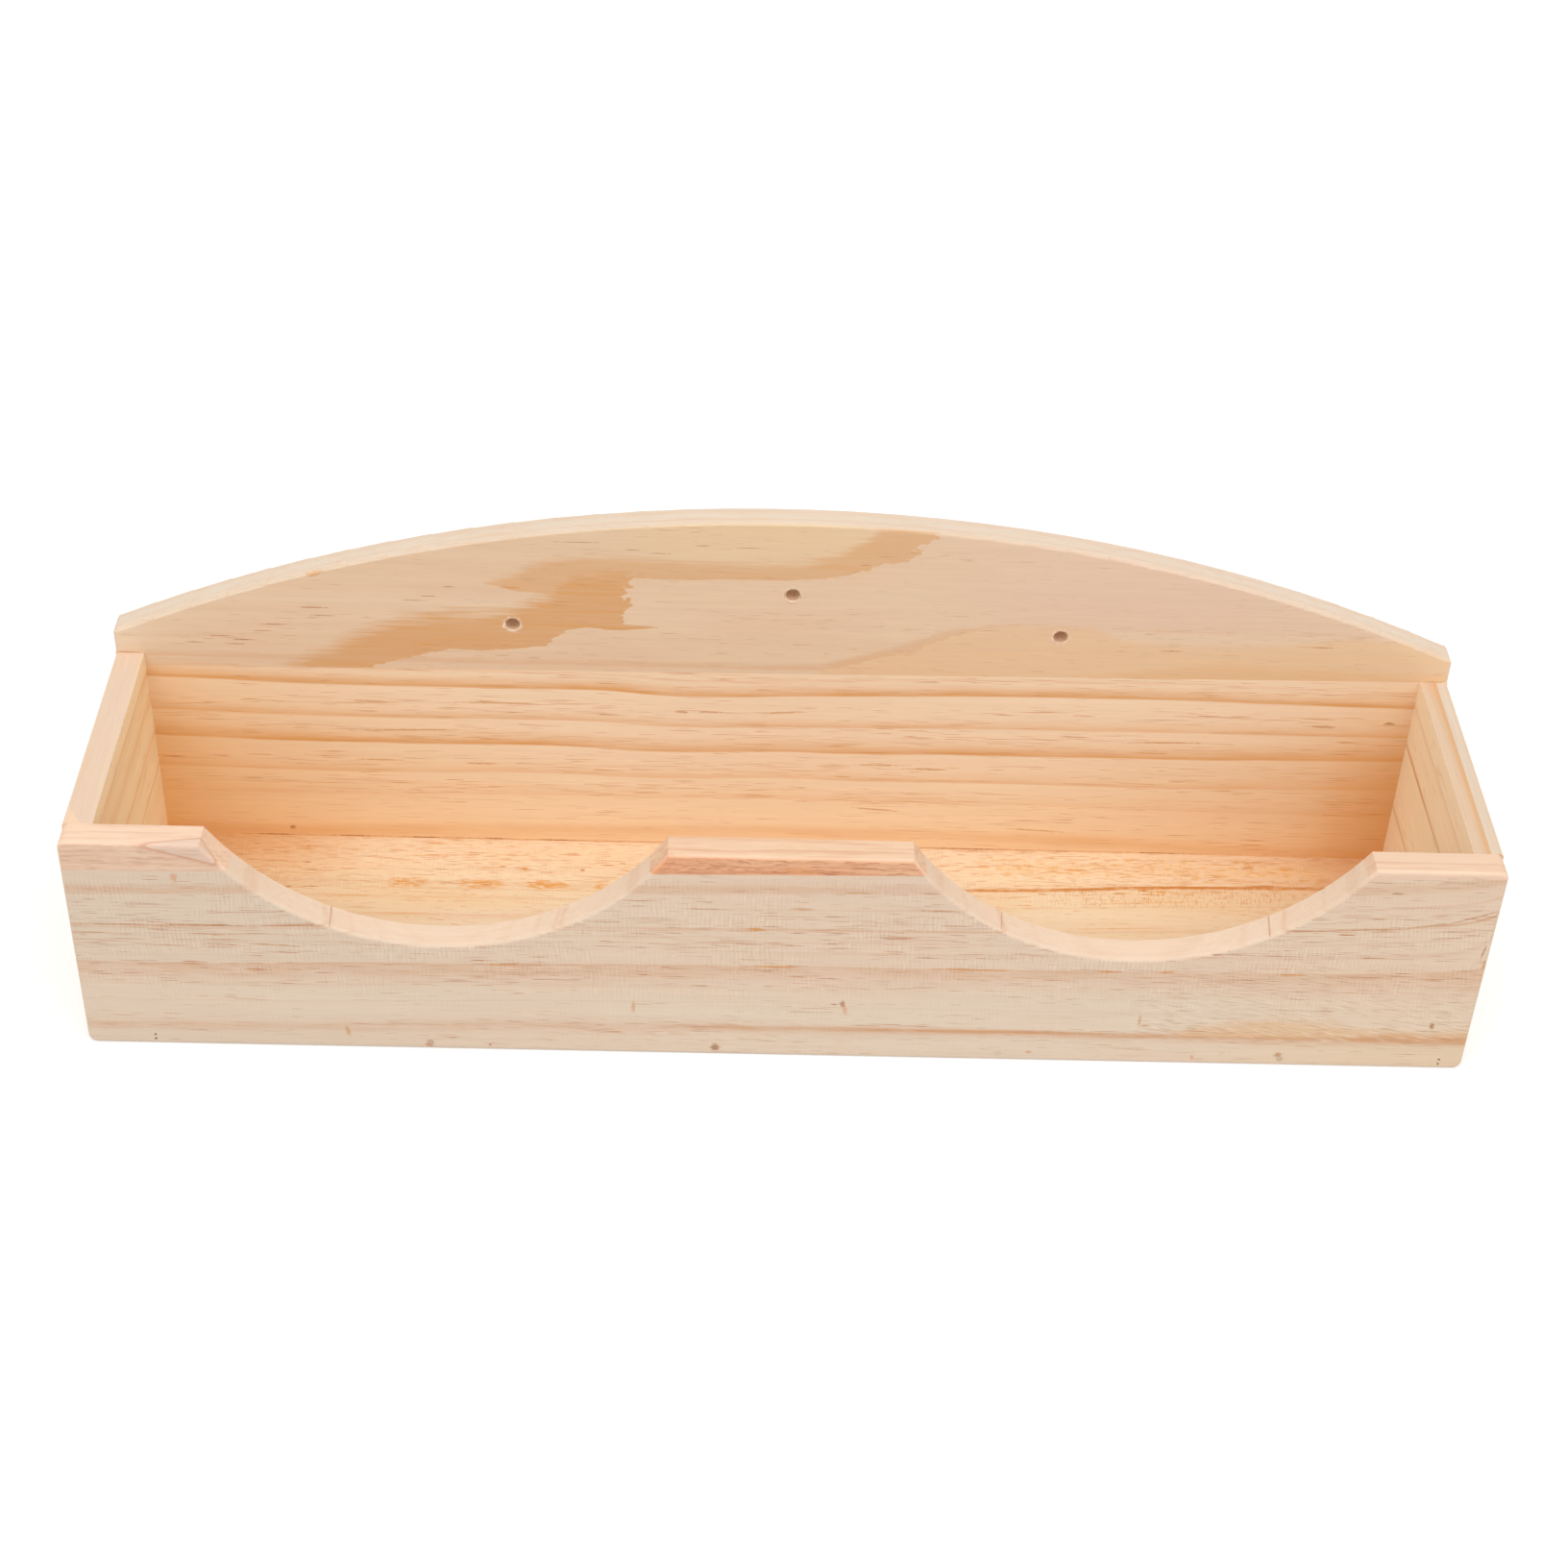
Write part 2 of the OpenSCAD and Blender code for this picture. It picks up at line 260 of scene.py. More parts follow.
class Nodes:
    """A material's or world's nodes.

    A value may be a number, a vector or a socket, and a colour may also be an sRGB hex
    code.
    """

    def __init__(self, tree: bpy.types.NodeTree) -> None:
        """Takes over a node tree and empties it."""
        self.tree = tree
        tree.nodes.clear()

    def add(self, kind: Kind, *values: object) -> Socket:
        """Adds one shader node with its settings, values and links.

        Args:
            kind: The node's kind.
            *values: Values for the kind's inputs.

        Returns:
            The kind's output.
        """
        node = self.tree.nodes.new("ShaderNode" + kind.type)
        for name, setting in kind.settings.items():
            setattr(node, name, setting)
        for key, value in zip(kind.inputs or range(len(values)), values):
            if isinstance(value, Socket):
                self.tree.links.new(value, node.inputs[key])
            elif isinstance(value, str):
                node.inputs[key].default_value = linear(value)
            else:
                node.inputs[key].default_value = value
        return node.outputs[kind.out]

    def place(self) -> Socket:
        """The place on the object in mm."""
        return self.add(VECTOR_SCALED, self.add(OBJECT_PLACE), 1 / MM)

    def grained(self, place: Socket, size: float | Triple, detail: float) -> Socket:
        """Makes noise from 0 to 1 whose grain has a real size.

        Args:
            place: Where the noise is read, in mm.
            size: The grain's size in mm, alike in all axes or by axis.
            detail: How many finer layers the noise has.

        Returns:
            The noise.
        """
        sizes = size if isinstance(size, tuple) else (size, size, size)
        shrunk = self.add(VECTOR_TIMES, place, tuple(1 / s for s in sizes))
        return self.add(NOISE, shrunk, 1.0, detail)

    def drawn(self, value: Socket, points: Points, soft: bool = True) -> Socket:
        """Reads a line drawn through given points, such as a ring's course along a board.

        Args:
            value: Where the line is read, in the unit of the points' first numbers.
            points: The line's points, from the lowest first number to the highest.
            soft: True for a smooth curve, False for straight stretches.

        Returns:
            The line's height, in the unit of the points' second numbers.
        """
        xs, ys = np.array(points, float).T
        low, high = float(ys.min()), float(max(ys.max(), ys.min() + 1e-6))
        share = self.add(RANGED, value, float(xs[0]), float(xs[-1]))
        read = self.add(CURVE, share)
        curve = read.node.mapping.curves[0]
        at = np.stack([(xs - xs[0]) / (xs[-1] - xs[0]), (ys - low) / (high - low)], 1)
        curve.points[0].location = at[0].tolist()
        curve.points[1].location = at[-1].tolist()
        for x, y in at[1:-1].tolist():
            curve.points.new(x, y)
        for point in curve.points:
            point.handle_type = "AUTO" if soft else "VECTOR"
        read.node.mapping.update()
        return self.add(TIMES_PLUS, read, high - low, low)

    def end(self, shader: Socket, kind: str = "OutputMaterial") -> None:
        """Ends the tree with a shader as its surface."""
        out = self.tree.nodes.new("ShaderNode" + kind)
        self.tree.links.new(shader, out.inputs["Surface"])


@dataclass(frozen=True)
class Finish:
    """A named material whose surface is drawn by a subclass."""

    name: str

    def material(self) -> bpy.types.Material:
        """Builds the finish as a node material.

        Returns:
            The new material.
        """
        made = bpy.data.materials.new(self.name)
        made.use_nodes = True
        nodes = Nodes(made.node_tree)
        inputs = self.surface(nodes)
        coat = Kind("BsdfPrincipled", inputs=tuple(inputs))
        nodes.end(nodes.add(coat, *inputs.values()))
        return made

    def surface(self, nodes: Nodes) -> Inputs:
        """Draws the finish with the given nodes, as inputs of a surface shader."""
        raise NotImplementedError


class Grain(Enum):
    """How a board's wood lies: the axes along the grain, across it and into the face."""

    UPRIGHT_WIDE = ("X", "Z", "Y")
    FLAT_WIDE = ("X", "Y", "Z")
    UPRIGHT_DEEP = ("Y", "Z", "X")


@dataclass(frozen=True)
class Course:
    """The way the rings near one place across the grain wander along it, in mm."""

    at: float
    line: Points


@dataclass(frozen=True)
class Canals:
    """Resin canals: thin dashes along the grain, close in some rows and rare in others.

    Attributes:
        colour: Their colour, sRGB.
        share: How close they lie, from 0 to 1.
        length: Their length, in mm.
        width: Their width, in mm.
        strength: How dark they are, from 0 to 1.
        rows: How close they lie by place across the grain, from 0 to 1.
    """

    colour: str = "#B48A64"
    share: float = 0.5
    length: float = 8.0
    width: float = 0.36
    strength: float = 0.7
    rows: Points = ()


@dataclass(frozen=True)
class Band:
    """Wood between two drawn lines, in mm, sharp on one side and fading on the other."""

    lower: Points
    upper: Points
    soft_lower: float = 0.5
    soft_upper: float = 4.0
    share: float = 1.0


@dataclass(frozen=True)
class Figure:
    """A patch of denser wood: its colour, its strength, its frayed edge and its bands."""

    colour: str
    strength: float
    jag: float
    bands: tuple[Band, ...]


@dataclass(frozen=True)
class ToneAndShade:
    """A broad tone towards an end or an edge, as two shares' product. On some boards it is the
    wood's own tone, on others painted shade of the corners.

    With skin, only the outermost wood of the visible face has it.
    """

    colour: str
    along: Points
    across: Points
    skin: bool = False


@dataclass(frozen=True)
class Feather:
    """Short strokes over a stretch of the board, such as torn grain or resin speckle.

    Attributes:
        along: Where they lie along the grain, as a share from 0 to 1.
        across: Where they lie across it.
        lean: Their angle to the grain, in radians.
        colour: Their colour, sRGB.
        strength: How strong they are, from 0 to 1.
        stroke: Their length and width, in mm.
        edge: How rare they are, from about 0.4 for close to 0.6 for few.
    """

    along: Points
    across: Points
    lean: float
    colour: str
    strength: float
    stroke: tuple[float, float] = (7.0, 0.42)
    edge: float = 0.55


@dataclass(frozen=True)
class Marks:
    """Single marks of one colour on a face.

    A spot is its middle along and across the grain, its half length and half width, in
    mm, and its lean in radians where it has one.
    """

    colour: str
    strength: float
    spots: tuple[tuple[float, ...], ...]


@dataclass(frozen=True)
class RingPlane:
    """A ring that cuts an edge of the board as a plane, in mm.

    The wood on the side that normal points to takes colour, and the ring itself is a
    line of line_width. With a reach, both end that far from the point, and lie only on
    the sawn edges.
    """

    point: Triple
    normal: Triple
    colour: str
    strength: float
    line_colour: str
    line_width: float
    line_strength: float
    soft: float = 0.4
    reach: float = 0.0


@dataclass(frozen=True)
class Bore:
    """A drilled hole's place along and across the grain, and its radius, in mm."""

    along: float
    across: float
    radius: float = 2.25


@dataclass(frozen=True)
class PineFinish(Finish):
    """Bare pine, planed and sanded, as one stave shows it.

    The eye gets pale early wood, warmer and slightly shinier late-wood lines with one
    sharp side, thin resin canals along the grain, fine fibres and, where the planer
    was dull, close marks across the grain. All lengths are in mm.

    Attributes:
        name: The material's name.
        grain: How the wood lies.
        early: Early wood, sRGB.
        late: Late wood, sRGB.
        rim: Sanded edges, sRGB; on the tabs also a painted highlight.
        top: Wood on edges cut along the grain, sRGB.
        rings: Late wood across the grain, from 0 to 1, at the start of the board.
        end: Wood on ends cut across the grain, sRGB.
        far_rings: The same as rings at its end, or nothing where rings holds all along.
        fade: Where along the grain the one passes into the other.
        drift: The rings' wander, from the lowest course across the grain to the highest.
        face: Place of the visible face along the axis into the wood.
        tilt: Slope of the rings into the wood.
        wave: Height of the rings' small waves.
        gaps: Length and width of the stronger and weaker stretches of a ring.
        gap_depth: How weak the weaker stretches are, from 0 to 1.
        tint: A second tone that clouds the early wood, sRGB.
        tint_strength: How strong those clouds are.
        rim_strength: How strongly the sanded edges show.
        edge_streaks: How strong the grain shows on the sawn edges.
        canals: The resin canals.
        saw: Strength of the marks across the grain.
        saw_band: Where across the grain those marks lie, from 0 to 1.
        top_bands: Late wood on the edge faces, read into the wood.
        tones_and_shade: Broad changes of tone, some of them painted shade of the corners.
        figures: Patches of denser wood.
        feathers: Stretches of torn grain.
        marks: Single marks.
        planes: Rings that cut an edge.
        bores: Drilled holes.
    """

    grain: Grain
    early: str
    late: str
    rim: str
    top: str
    rings: Points
    end: str = "#E3BE97"
    far_rings: Points = ()
    fade: tuple[float, float] = (-40.0, 40.0)
    drift: tuple[Course, ...] = ()
    face: float = 0.0
    tilt: float = 0.35
    wave: float = 0.5
    gaps: tuple[float, float] = (24.0, 2.2)
    gap_depth: float = 0.3
    tint: str = "#E9CDB8"
    tint_strength: float = 0.35
    rim_strength: float = 0.45
    edge_streaks: float = 0.34
    canals: Canals = Canals()
    saw: float = 0.0
    saw_band: Points = ()
    top_bands: Points = ()
    tones_and_shade: tuple[ToneAndShade, ...] = ()
    figures: tuple[Figure, ...] = ()
    feathers: tuple[Feather, ...] = ()
    marks: tuple[Marks, ...] = ()
    planes: tuple[RingPlane, ...] = ()
    bores: tuple[Bore, ...] = ()

    def surface(self, nodes: Nodes) -> Inputs:
        """Draws the pine with the given nodes, as inputs of a surface shader."""
        return Pine(self, nodes).surface()


class Pine:
    """The nodes of one stave's pine, which share a place in the wood, in mm.

    The place is known along the grain, across it and as a depth below the visible
    face. The skin is 1 in the planed face and 0 in the wood below it.
    """

    def __init__(self, look: PineFinish, nodes: Nodes) -> None:
        """Works out the place in the wood for a finish.

        Args:
            look: The finish.
            nodes: The nodes of its material.
        """
        self.look, self.nodes = look, nodes
        self.mm = nodes.place()
        parts = nodes.add(PARTS, self.mm).node.outputs
        self.along, self.across, self.into = (parts[axis] for axis in look.grain.value)
        self.wood = nodes.add(VECTOR, self.along, self.across, self.into)
        self.flat = nodes.add(VECTOR, self.along, self.across, 0.0)
        self.depth = nodes.add(MINUS, self.into, look.face)
        self.skin = nodes.add(EASED, nodes.add(ABSOLUTE, self.depth), *SKIN)

    def surface(self) -> Inputs:
        """Draws the whole pine.

        Returns:
            The inputs of its surface shader.
        """
        look, nodes = self.look, self.nodes
        late, ring_at = self._late_wood()
        fibres = nodes.grained(self.wood, FIBRE, 3.0)
        strands = nodes.grained(self.wood, STRAND, 2.0)
        cloud = nodes.grained(self.wood, CLOUD, 2.0)
        clouds = nodes.add(EASED, cloud, *CLOUDED, 0.0, look.tint_strength)
        colour = self._tones_and_shade(nodes.add(BLENDED, clouds, look.early, look.tint))
        colour = nodes.add(BLENDED, late, colour, look.late)
        colour = self._figured(strands, colour)
        colour, cut, level = self._edges(late, colour)
        colour = self._ring_planes(cut, colour)
        colour = self._marked(self._feathered(colour))
        canals = nodes.add(TIMES, self._canals(ring_at), level)
        saw = nodes.add(TIMES, self._saw_marks(), level)
        share = nodes.add(TIMES, canals, look.canals.strength)
        colour = self._drilled(nodes.add(BLENDED, share, colour, look.canals.colour))

        shade = nodes.add(TIMES_PLUS, fibres, *FIBRE_SHADE)
        shade = nodes.add(TIMES_PLUS, strands, STRAND_SHADE, shade)
        shade = nodes.add(PLUS, shade, saw)
        shade = nodes.add(VECTOR_TIMES_PLUS, shade, WARMTH, WHITE[:3])

        height = nodes.add(TIMES, fibres, FIBRE_RISE)
        for part, rise in ((late, LATE_RISE), (canals, CANAL_RISE), (saw, SAW_RISE)):
            height = nodes.add(TIMES_PLUS, part, rise, height)
        return {
            "Base Color": nodes.add(VECTOR_TIMES, colour, shade),
            "Roughness": nodes.add(RANGED, late, 0.0, 1.0, *ROUGHNESS),
            "IOR": REFRACTION,
            "Normal": nodes.add(BUMP, height, RELIEF, MM),
        }

    def _late_wood(self) -> tuple[Socket, Socket]:
        """Late wood from 0 to 1, and the ring coordinate in mm that it is read at.

        The ring coordinate is the place across the grain, less the rings' drift, plus
        their slope into the wood and a small wave.

        Returns:
            The late wood and the ring coordinate.
        """
        look, nodes = self.look, self.nodes
        wave = nodes.grained(self.wood, RING_WAVE, 2.0)
        at = nodes.add(TIMES_PLUS, wave, 2 * look.wave, -look.wave)
        at = nodes.add(PLUS, at, self.across)
        at = nodes.add(TIMES_PLUS, self.depth, look.tilt, at)
        if look.drift:
            gone = nodes.drawn(self.along, look.drift[0].line)
            for low, high in zip(look.drift, look.drift[1:]):
                share = nodes.add(RANGED, self.across, low.at, high.at)
                gone = nodes.add(FADED, share, gone, nodes.drawn(self.along, high.line))
            at = nodes.add(MINUS, at, gone)
        late = nodes.drawn(at, look.rings, False)
        if look.far_rings:
            far = nodes.drawn(at, look.far_rings, False)
            late = nodes.add(FADED, nodes.add(EASED, self.along, *look.fade), late, far)
        length, width = look.gaps
        gaps = nodes.grained(self.wood, (length, width, width), 2.0)
        weak, strong = 1 - look.gap_depth, 1 + STRONG_SHARE * look.gap_depth
        gaps = nodes.add(RANGED, gaps, *MOST, weak, strong)
        return nodes.add(TIMES_WITHIN_ONE, late, gaps), at

    def _canals(self, ring_at: Socket) -> Socket:
        """Resin canals from 0 to 1, in loose groups and, if drawn, in rows.

        Args:
            ring_at: The ring coordinate, in mm.

        Returns:
            How much of a canal there is.
        """
        look, nodes = self.look.canals, self.nodes
        dashes = nodes.grained(self.wood, (look.length, look.width, look.width), 0.5)
        groups = nodes.grained(self.wood, CANAL_GROUP, 1.0)
        dashes = nodes.add(TIMES_PLUS, groups, GROUP_RAISE, dashes)
        if look.rows:
            rows = nodes.drawn(ring_at, look.rows, False)
            dashes = nodes.add(TIMES_PLUS, rows, ROW_RAISE, dashes)
        bar = CANAL_BAR - CLOSE_LOWERS * look.share
        return nodes.add(EASED, dashes, bar, bar + CANAL_EDGE)

    def _saw_marks(self) -> Socket:
        """Planer marks across the grain, as a change of lightness.

        They are a sine along the grain whose phase wanders, broken up by fine noise.

        Returns:
            The change of lightness.
        """
        look, nodes = self.look, self.nodes
        lean = nodes.add(LEANED, self.wood, (0.0, 0.0, SAW_LEAN))
        rough = nodes.add(RANGED, nodes.grained(lean, SAW_GRIT, 1.0), *MIDDLE, -1.0, 1.0)
        wander = nodes.add(TIMES, nodes.grained(lean, SAW_WANDER, 2.0), SAW_SWING)
        phase = nodes.add(TIMES_PLUS, nodes.add(PARTS, lean), 2 * math.pi / SAW_PITCH, wander)
        marks = nodes.add(FADED, SAW_EVEN, rough, nodes.add(SINE, phase))
        groups = nodes.add(EASED, nodes.grained(self.wood, SAW_GROUP, 1.5), *SAW_GROUPED)
        if look.saw_band:
            groups = nodes.add(TIMES, groups, nodes.drawn(self.across, look.saw_band))
        return nodes.add(TIMES, marks, nodes.add(TIMES, groups, SAW_STRENGTH * look.saw))

    def _tones_and_shade(self, colour: Socket) -> Socket:
        """Lays the broad changes of tone, painted corner shade among them, over a colour.

        Args:
            colour: The colour so far.

        Returns:
            The new colour.
        """
        nodes = self.nodes
        for tone_and_shade in self.look.tones_and_shade:
            share = self._window(tone_and_shade.along, tone_and_shade.across, tone_and_shade.skin)
            colour = nodes.add(BLENDED, share, colour, tone_and_shade.colour)
        return colour

    def _window(self, along: Points, across: Points, skin: bool) -> Socket:
        """A share drawn along the grain times one drawn across it, if need be skin-deep.

        Args:
            along: The share's line along the grain.
            across: Its line across the grain.
            skin: True where only the planed face has it.

        Returns:
            The share.
        """
        nodes = self.nodes
        share = nodes.add(TIMES, nodes.drawn(self.along, along), nodes.drawn(self.across, across))
        return nodes.add(TIMES, share, self.skin) if skin else share

    def _figured(self, strands: Socket, colour: Socket) -> Socket:
        """Lays the figures over a colour, with edges that fray along the fibres.

        A figure leans through the wood, so the other face shows it moved.

        Args:
            strands: Noise along the grain, from 0 to 1.
            colour: The colour so far.

        Returns:
            The new colour.
        """
        look, nodes = self.look, self.nodes
        if not look.figures:
            return colour
        leaned = nodes.add(VECTOR_TIMES_PLUS, self.depth, FIGURE_LEAN, self.wood)
        along, across, _ = nodes.add(PARTS, leaned).node.outputs
        fray = nodes.add(MINUS, nodes.grained(self.wood, FIGURE_FRAY, 3.0), 0.5)
        lift = nodes.add(MINUS, nodes.grained(self.wood, FIGURE_LIFT, 2.0), 0.5)
        for figure in look.figures:
            moved = nodes.add(TIMES_PLUS, fray, FRAY_REACH * figure.jag, along)
            shares = []
            for band in figure.bands:
                low = nodes.drawn(moved, band.lower, False)
                low = nodes.add(MINUS, across, low)
                low = nodes.add(EASED, low, 0.0, band.soft_lower)
                high = nodes.drawn(along, band.upper)
                high = nodes.add(TIMES_PLUS, lift, LIFT_REACH * band.soft_upper, high)
                high = nodes.add(MINUS, high, across)
                high = nodes.add(EASED, high, 0.0, band.soft_upper, 0.0, band.share)
                shares.append(nodes.add(TIMES, low, high))
            share = shares[0]
            for other in shares[1:]:
                share = nodes.add(GREATER, share, other)
            faint, full = (min(1.0, part * figure.strength) for part in FIGURE_RANGE)
            streaky = nodes.add(RANGED, strands, *MOST, faint, full)
            colour = nodes.add(BLENDED, nodes.add(TIMES, share, streaky), colour, figure.colour)
        return colour

    def _edges(self, late: Socket, colour: Socket) -> tuple[Socket, Socket, Socket]:
        """Paler wood on sanded rims and edges, with a painted highlight on the tabs' rims, and open
        grain on the ends.

        The normal tells them apart: it lies along the axis into the wood on the two
        faces, across the grain on the edges and along the grain on the ends.

        Args:
            late: Late wood, from 0 to 1.
            colour: The colour so far.

        Returns:
            The colour, how far the surface is turned from the faces, and where it is
            level with them.
        """
        look, nodes = self.look, self.nodes
        normal = nodes.add(PARTS, nodes.add(NORMAL)).node.outputs
        facing = nodes.add(ABSOLUTE, normal[look.grain.value[2]])
        ending = nodes.add(ABSOLUTE, normal[look.grain.value[0]])

        tone = look.top
        if look.top_bands:
            bands = nodes.drawn(self.into, look.top_bands, False)
            tone = nodes.add(BLENDED, bands, tone, look.late)
        streaks = nodes.grained(self.wood, EDGE_STREAK, 3.0)
        streaks = nodes.add(EASED, streaks, *STREAKED, 0.0, look.edge_streaks)
        tone = nodes.add(BLENDED, streaks, tone, look.late)
        tone = nodes.add(BLENDED, nodes.add(TIMES, late, RING_ON_EDGE), tone, look.late)
        cut = nodes.add(EASED, facing, *SAWN_EDGE, 0.0, EDGE_COVER)
        colour = nodes.add(BLENDED, cut, colour, tone)

        pores = nodes.grained(self.wood, PORE, 3.0)
        pores = nodes.add(RANGED, pores, *MIDDLE, 0.0, PORE_SHARE)
        open_grain = nodes.add(BLENDED, pores, look.end, look.late)
        ring = nodes.add(TIMES, late, RING_ON_END)
        open_grain = nodes.add(BLENDED, ring, open_grain, look.late)
        colour = nodes.add(BLENDED, nodes.add(EASED, ending, *END_GRAIN), colour, open_grain)

        # The rim's colour is the sanded fibre's, and on the tabs also a painted highlight.
        starts, ends = nodes.add(EASED, facing, *RIM_STARTS), nodes.add(EASED, facing, *RIM_ENDS)
        rim = nodes.add(TIMES, nodes.add(TIMES, starts, ends), look.rim_strength)
        colour = nodes.add(BLENDED, rim, colour, look.rim)
        return colour, cut, nodes.add(EASED, facing, *LEVEL)

    def _ring_planes(self, cut: Socket, colour: Socket) -> Socket:
        """Lays the rings that cut an edge over a colour.

        Args:
            cut: How far the surface is turned from the faces, from 0 to 1.
            colour: The colour so far.

        Returns:
            The new colour.
        """
        nodes = self.nodes
        for plane in self.look.planes:
            size = math.hypot(*plane.normal)
            normal = tuple(n / size for n in plane.normal)
            away = nodes.add(VECTOR_MINUS, self.mm, plane.point)
            gap = nodes.add(DOT, away, normal)
            side = nodes.add(EASED, gap, 0.0, plane.soft, 0.0, plane.strength)
            width = plane.line_width
            near = nodes.add(ABSOLUTE, gap)
            line = nodes.add(EASED, near, width, LINE_CORE * width, 0.0, plane.line_strength)
            if plane.reach:
                gone = nodes.add(LENGTH, away)
                here = nodes.add(EASED, gone, plane.reach, REACH_CORE * plane.reach)
                here = nodes.add(TIMES, here, cut)
                side, line = nodes.add(TIMES, side, here), nodes.add(TIMES, line, here)
            colour = nodes.add(BLENDED, side, colour, plane.colour)
            colour = nodes.add(BLENDED, line, colour, plane.line_colour)
        return colour

    def _feathered(self, colour: Socket) -> Socket:
        """Lays the stretches of torn grain and speckle over a colour.

        Args:
            colour: The colour so far.

        Returns:
            The new colour.
        """
        nodes = self.nodes
        for feather in self.look.feathers:
            long, wide = feather.stroke
            lean = nodes.add(LEANED, self.wood, (0.0, 0.0, feather.lean))
            strokes = nodes.grained(lean, (long, wide, wide), 1.0)
            edge, whole = feather.edge, feather.edge + STROKE_EDGE
            strokes = nodes.add(EASED, strokes, edge, whole, 0.0, feather.strength)
            window = self._window(feather.along, feather.across, True)
            colour = nodes.add(BLENDED, nodes.add(TIMES, strokes, window), colour, feather.colour)
        return colour

    def _marked(self, colour: Socket) -> Socket:
        """Lays the single marks over a colour, each a soft ellipse with a frayed edge.

        Args:
            colour: The colour so far.

        Returns:
            The new colour.
        """
        nodes = self.nodes
        if not self.look.marks:
            return colour
        # Below the face the fray is large, and no mark reaches there.
        fray = nodes.grained(self.wood, MARK_FRAY, 2.0)
        fray = nodes.add(TIMES_PLUS, fray, MARK_RAGGED, MARK_SUNK)
        fray = nodes.add(TIMES_PLUS, self.skin, -MARK_SUNK, fray)
        for marks in self.look.marks:
            for x, y, half_length, half_width, *lean in marks.spots:
                turn = lean[0] if lean else 0.0
                size = (half_length, half_width, 1.0)
                local = nodes.add(LOCAL, self.flat, (x, y, 0.0), (0.0, 0.0, turn), size)
                reach = nodes.add(LENGTH, local)
                reach = nodes.add(PLUS, fray, reach)
                share = nodes.add(EASED, reach, *MARK_EDGE, 0.0, marks.strength)
                colour = nodes.add(BLENDED, share, colour, marks.colour)
        return colour

    def _drilled(self, colour: Socket) -> Socket:
        """Gives the drilled holes brown walls and a pale ring of torn fibres.

        Args:
            colour: The colour so far.

        Returns:
            The new colour.
        """
        nodes = self.nodes
        if not self.look.bores:
            return colour
        torn = nodes.grained(self.wood, BORE_FRAY, 1.0)
        for bore in self.look.bores:
            centre = (bore.along, bore.across, 0.0)
            reach = nodes.add(DISTANCE, self.flat, centre)
            for fray, start, whole, strength, tone in (TORN_WOOD, BORE_RIM, BORE_WALL):
                edge = nodes.add(TIMES_PLUS, torn, fray, reach)
                start, whole = bore.radius + start, bore.radius + whole
                share = nodes.add(EASED, edge, start, whole, 0.0, strength)
                colour = nodes.add(BLENDED, share, colour, tone)
        return colour


@dataclass(frozen=True)
class FillerFinish(Finish):
    """Wood filler wiped over a sunk pin: dull paste, well matched here and brown there.

    Attributes:
        name: The material's name.
        pale: The paste where it matches the wood, sRGB.
        brown: The paste where it has darkened, sRGB.
        grit: Size of its grit, in mm.
        browned: How dark it is by place along the board, in mm.
    """

    name: str = "brown_wood_filler"
    pale: str = "#D9C3AB"
    brown: str = "#9C7252"
    grit: float = 0.4
    browned: Points = (
        (-110.0, 0.45), (-70.0, 0.45), (-50.0, 0.8), (20.0, 0.8), (40.0, 0.06),
        (100.0, 0.06), (120.0, 0.3), (160.0, 0.3),
    )

    def surface(self, nodes: Nodes) -> Inputs:
        """Draws the paste.

        Args:
            nodes: The nodes of the material.

        Returns:
            The inputs of its surface shader.
        """
        mm = nodes.place()
        grit = nodes.grained(mm, self.grit, 3.0)
        uneven = nodes.add(RANGED, grit, *MOST, 0.6, 1.3)
        share = nodes.drawn(nodes.add(PARTS, mm), self.browned, False)
        share = nodes.add(TIMES_WITHIN_ONE, share, uneven)
        return {
            "Base Color": nodes.add(BLENDED, share, self.pale, self.brown),
            "Roughness": 0.85,
            "Normal": nodes.add(BUMP, grit, 0.6, 0.1 * MM),
        }


@dataclass(frozen=True)
class WireFinish(Finish):
    """Drawn steel wire: bright where it was cut, with a dull, darker bloom elsewhere.

    Attributes:
        name: The material's name.
        bright: The cut steel, sRGB.
        dull: The bloom, sRGB.
        metallic: How metallic it is, from 0 to 1.
        bloom: Size of the bloom's spots, in mm.
    """

    name: str = "drawn_steel_wire"
    bright: str = "#9C9A97"
    dull: str = "#6E6862"
    metallic: float = 1.0
    bloom: float = 1 / 0.7

    def surface(self, nodes: Nodes) -> Inputs:
        """Draws the wire.

        Args:
            nodes: The nodes of the material.

        Returns:
            The inputs of its surface shader.
        """
        bloom = nodes.grained(nodes.place(), self.bloom, 3.0)
        share = nodes.add(RANGED, bloom, *MIDDLE)
        return {
            "Base Color": nodes.add(BLENDED, share, self.bright, self.dull),
            "Metallic": self.metallic,
            "Roughness": nodes.add(RANGED, bloom, *MOST, 0.32, 0.5),
        }


@dataclass(frozen=True)
class TornFinish(Finish):
    """Fibres torn up by a drill: pale, matt and a little warmer in their roots.

    Attributes:
        name: The material's name.
        pale: The fibres' tips, sRGB.
        root: Their roots, sRGB.
        fibre: Their size along the grain and in the other two axes, in mm.
    """

    name: str = "torn_pine_fibres"
    pale: str = "#F2DBC3"
    root: str = "#E3BF9B"
    fibre: Triple = (1 / 0.33, 1 / 3.3, 1 / 3.3)

    def surface(self, nodes: Nodes) -> Inputs:
        """Draws the fibres.

        Args:
            nodes: The nodes of the material.

        Returns:
            The inputs of its surface shader.
        """
        fibre = nodes.grained(nodes.place(), self.fibre, 2.0)
        share = nodes.add(RANGED, fibre, 0.4, 0.7)
        return {
            "Base Color": nodes.add(BLENDED, share, self.pale, self.root),
            "Roughness": 0.8,
            "Normal": nodes.add(BUMP, fibre, 0.8, 0.1 * MM),
        }
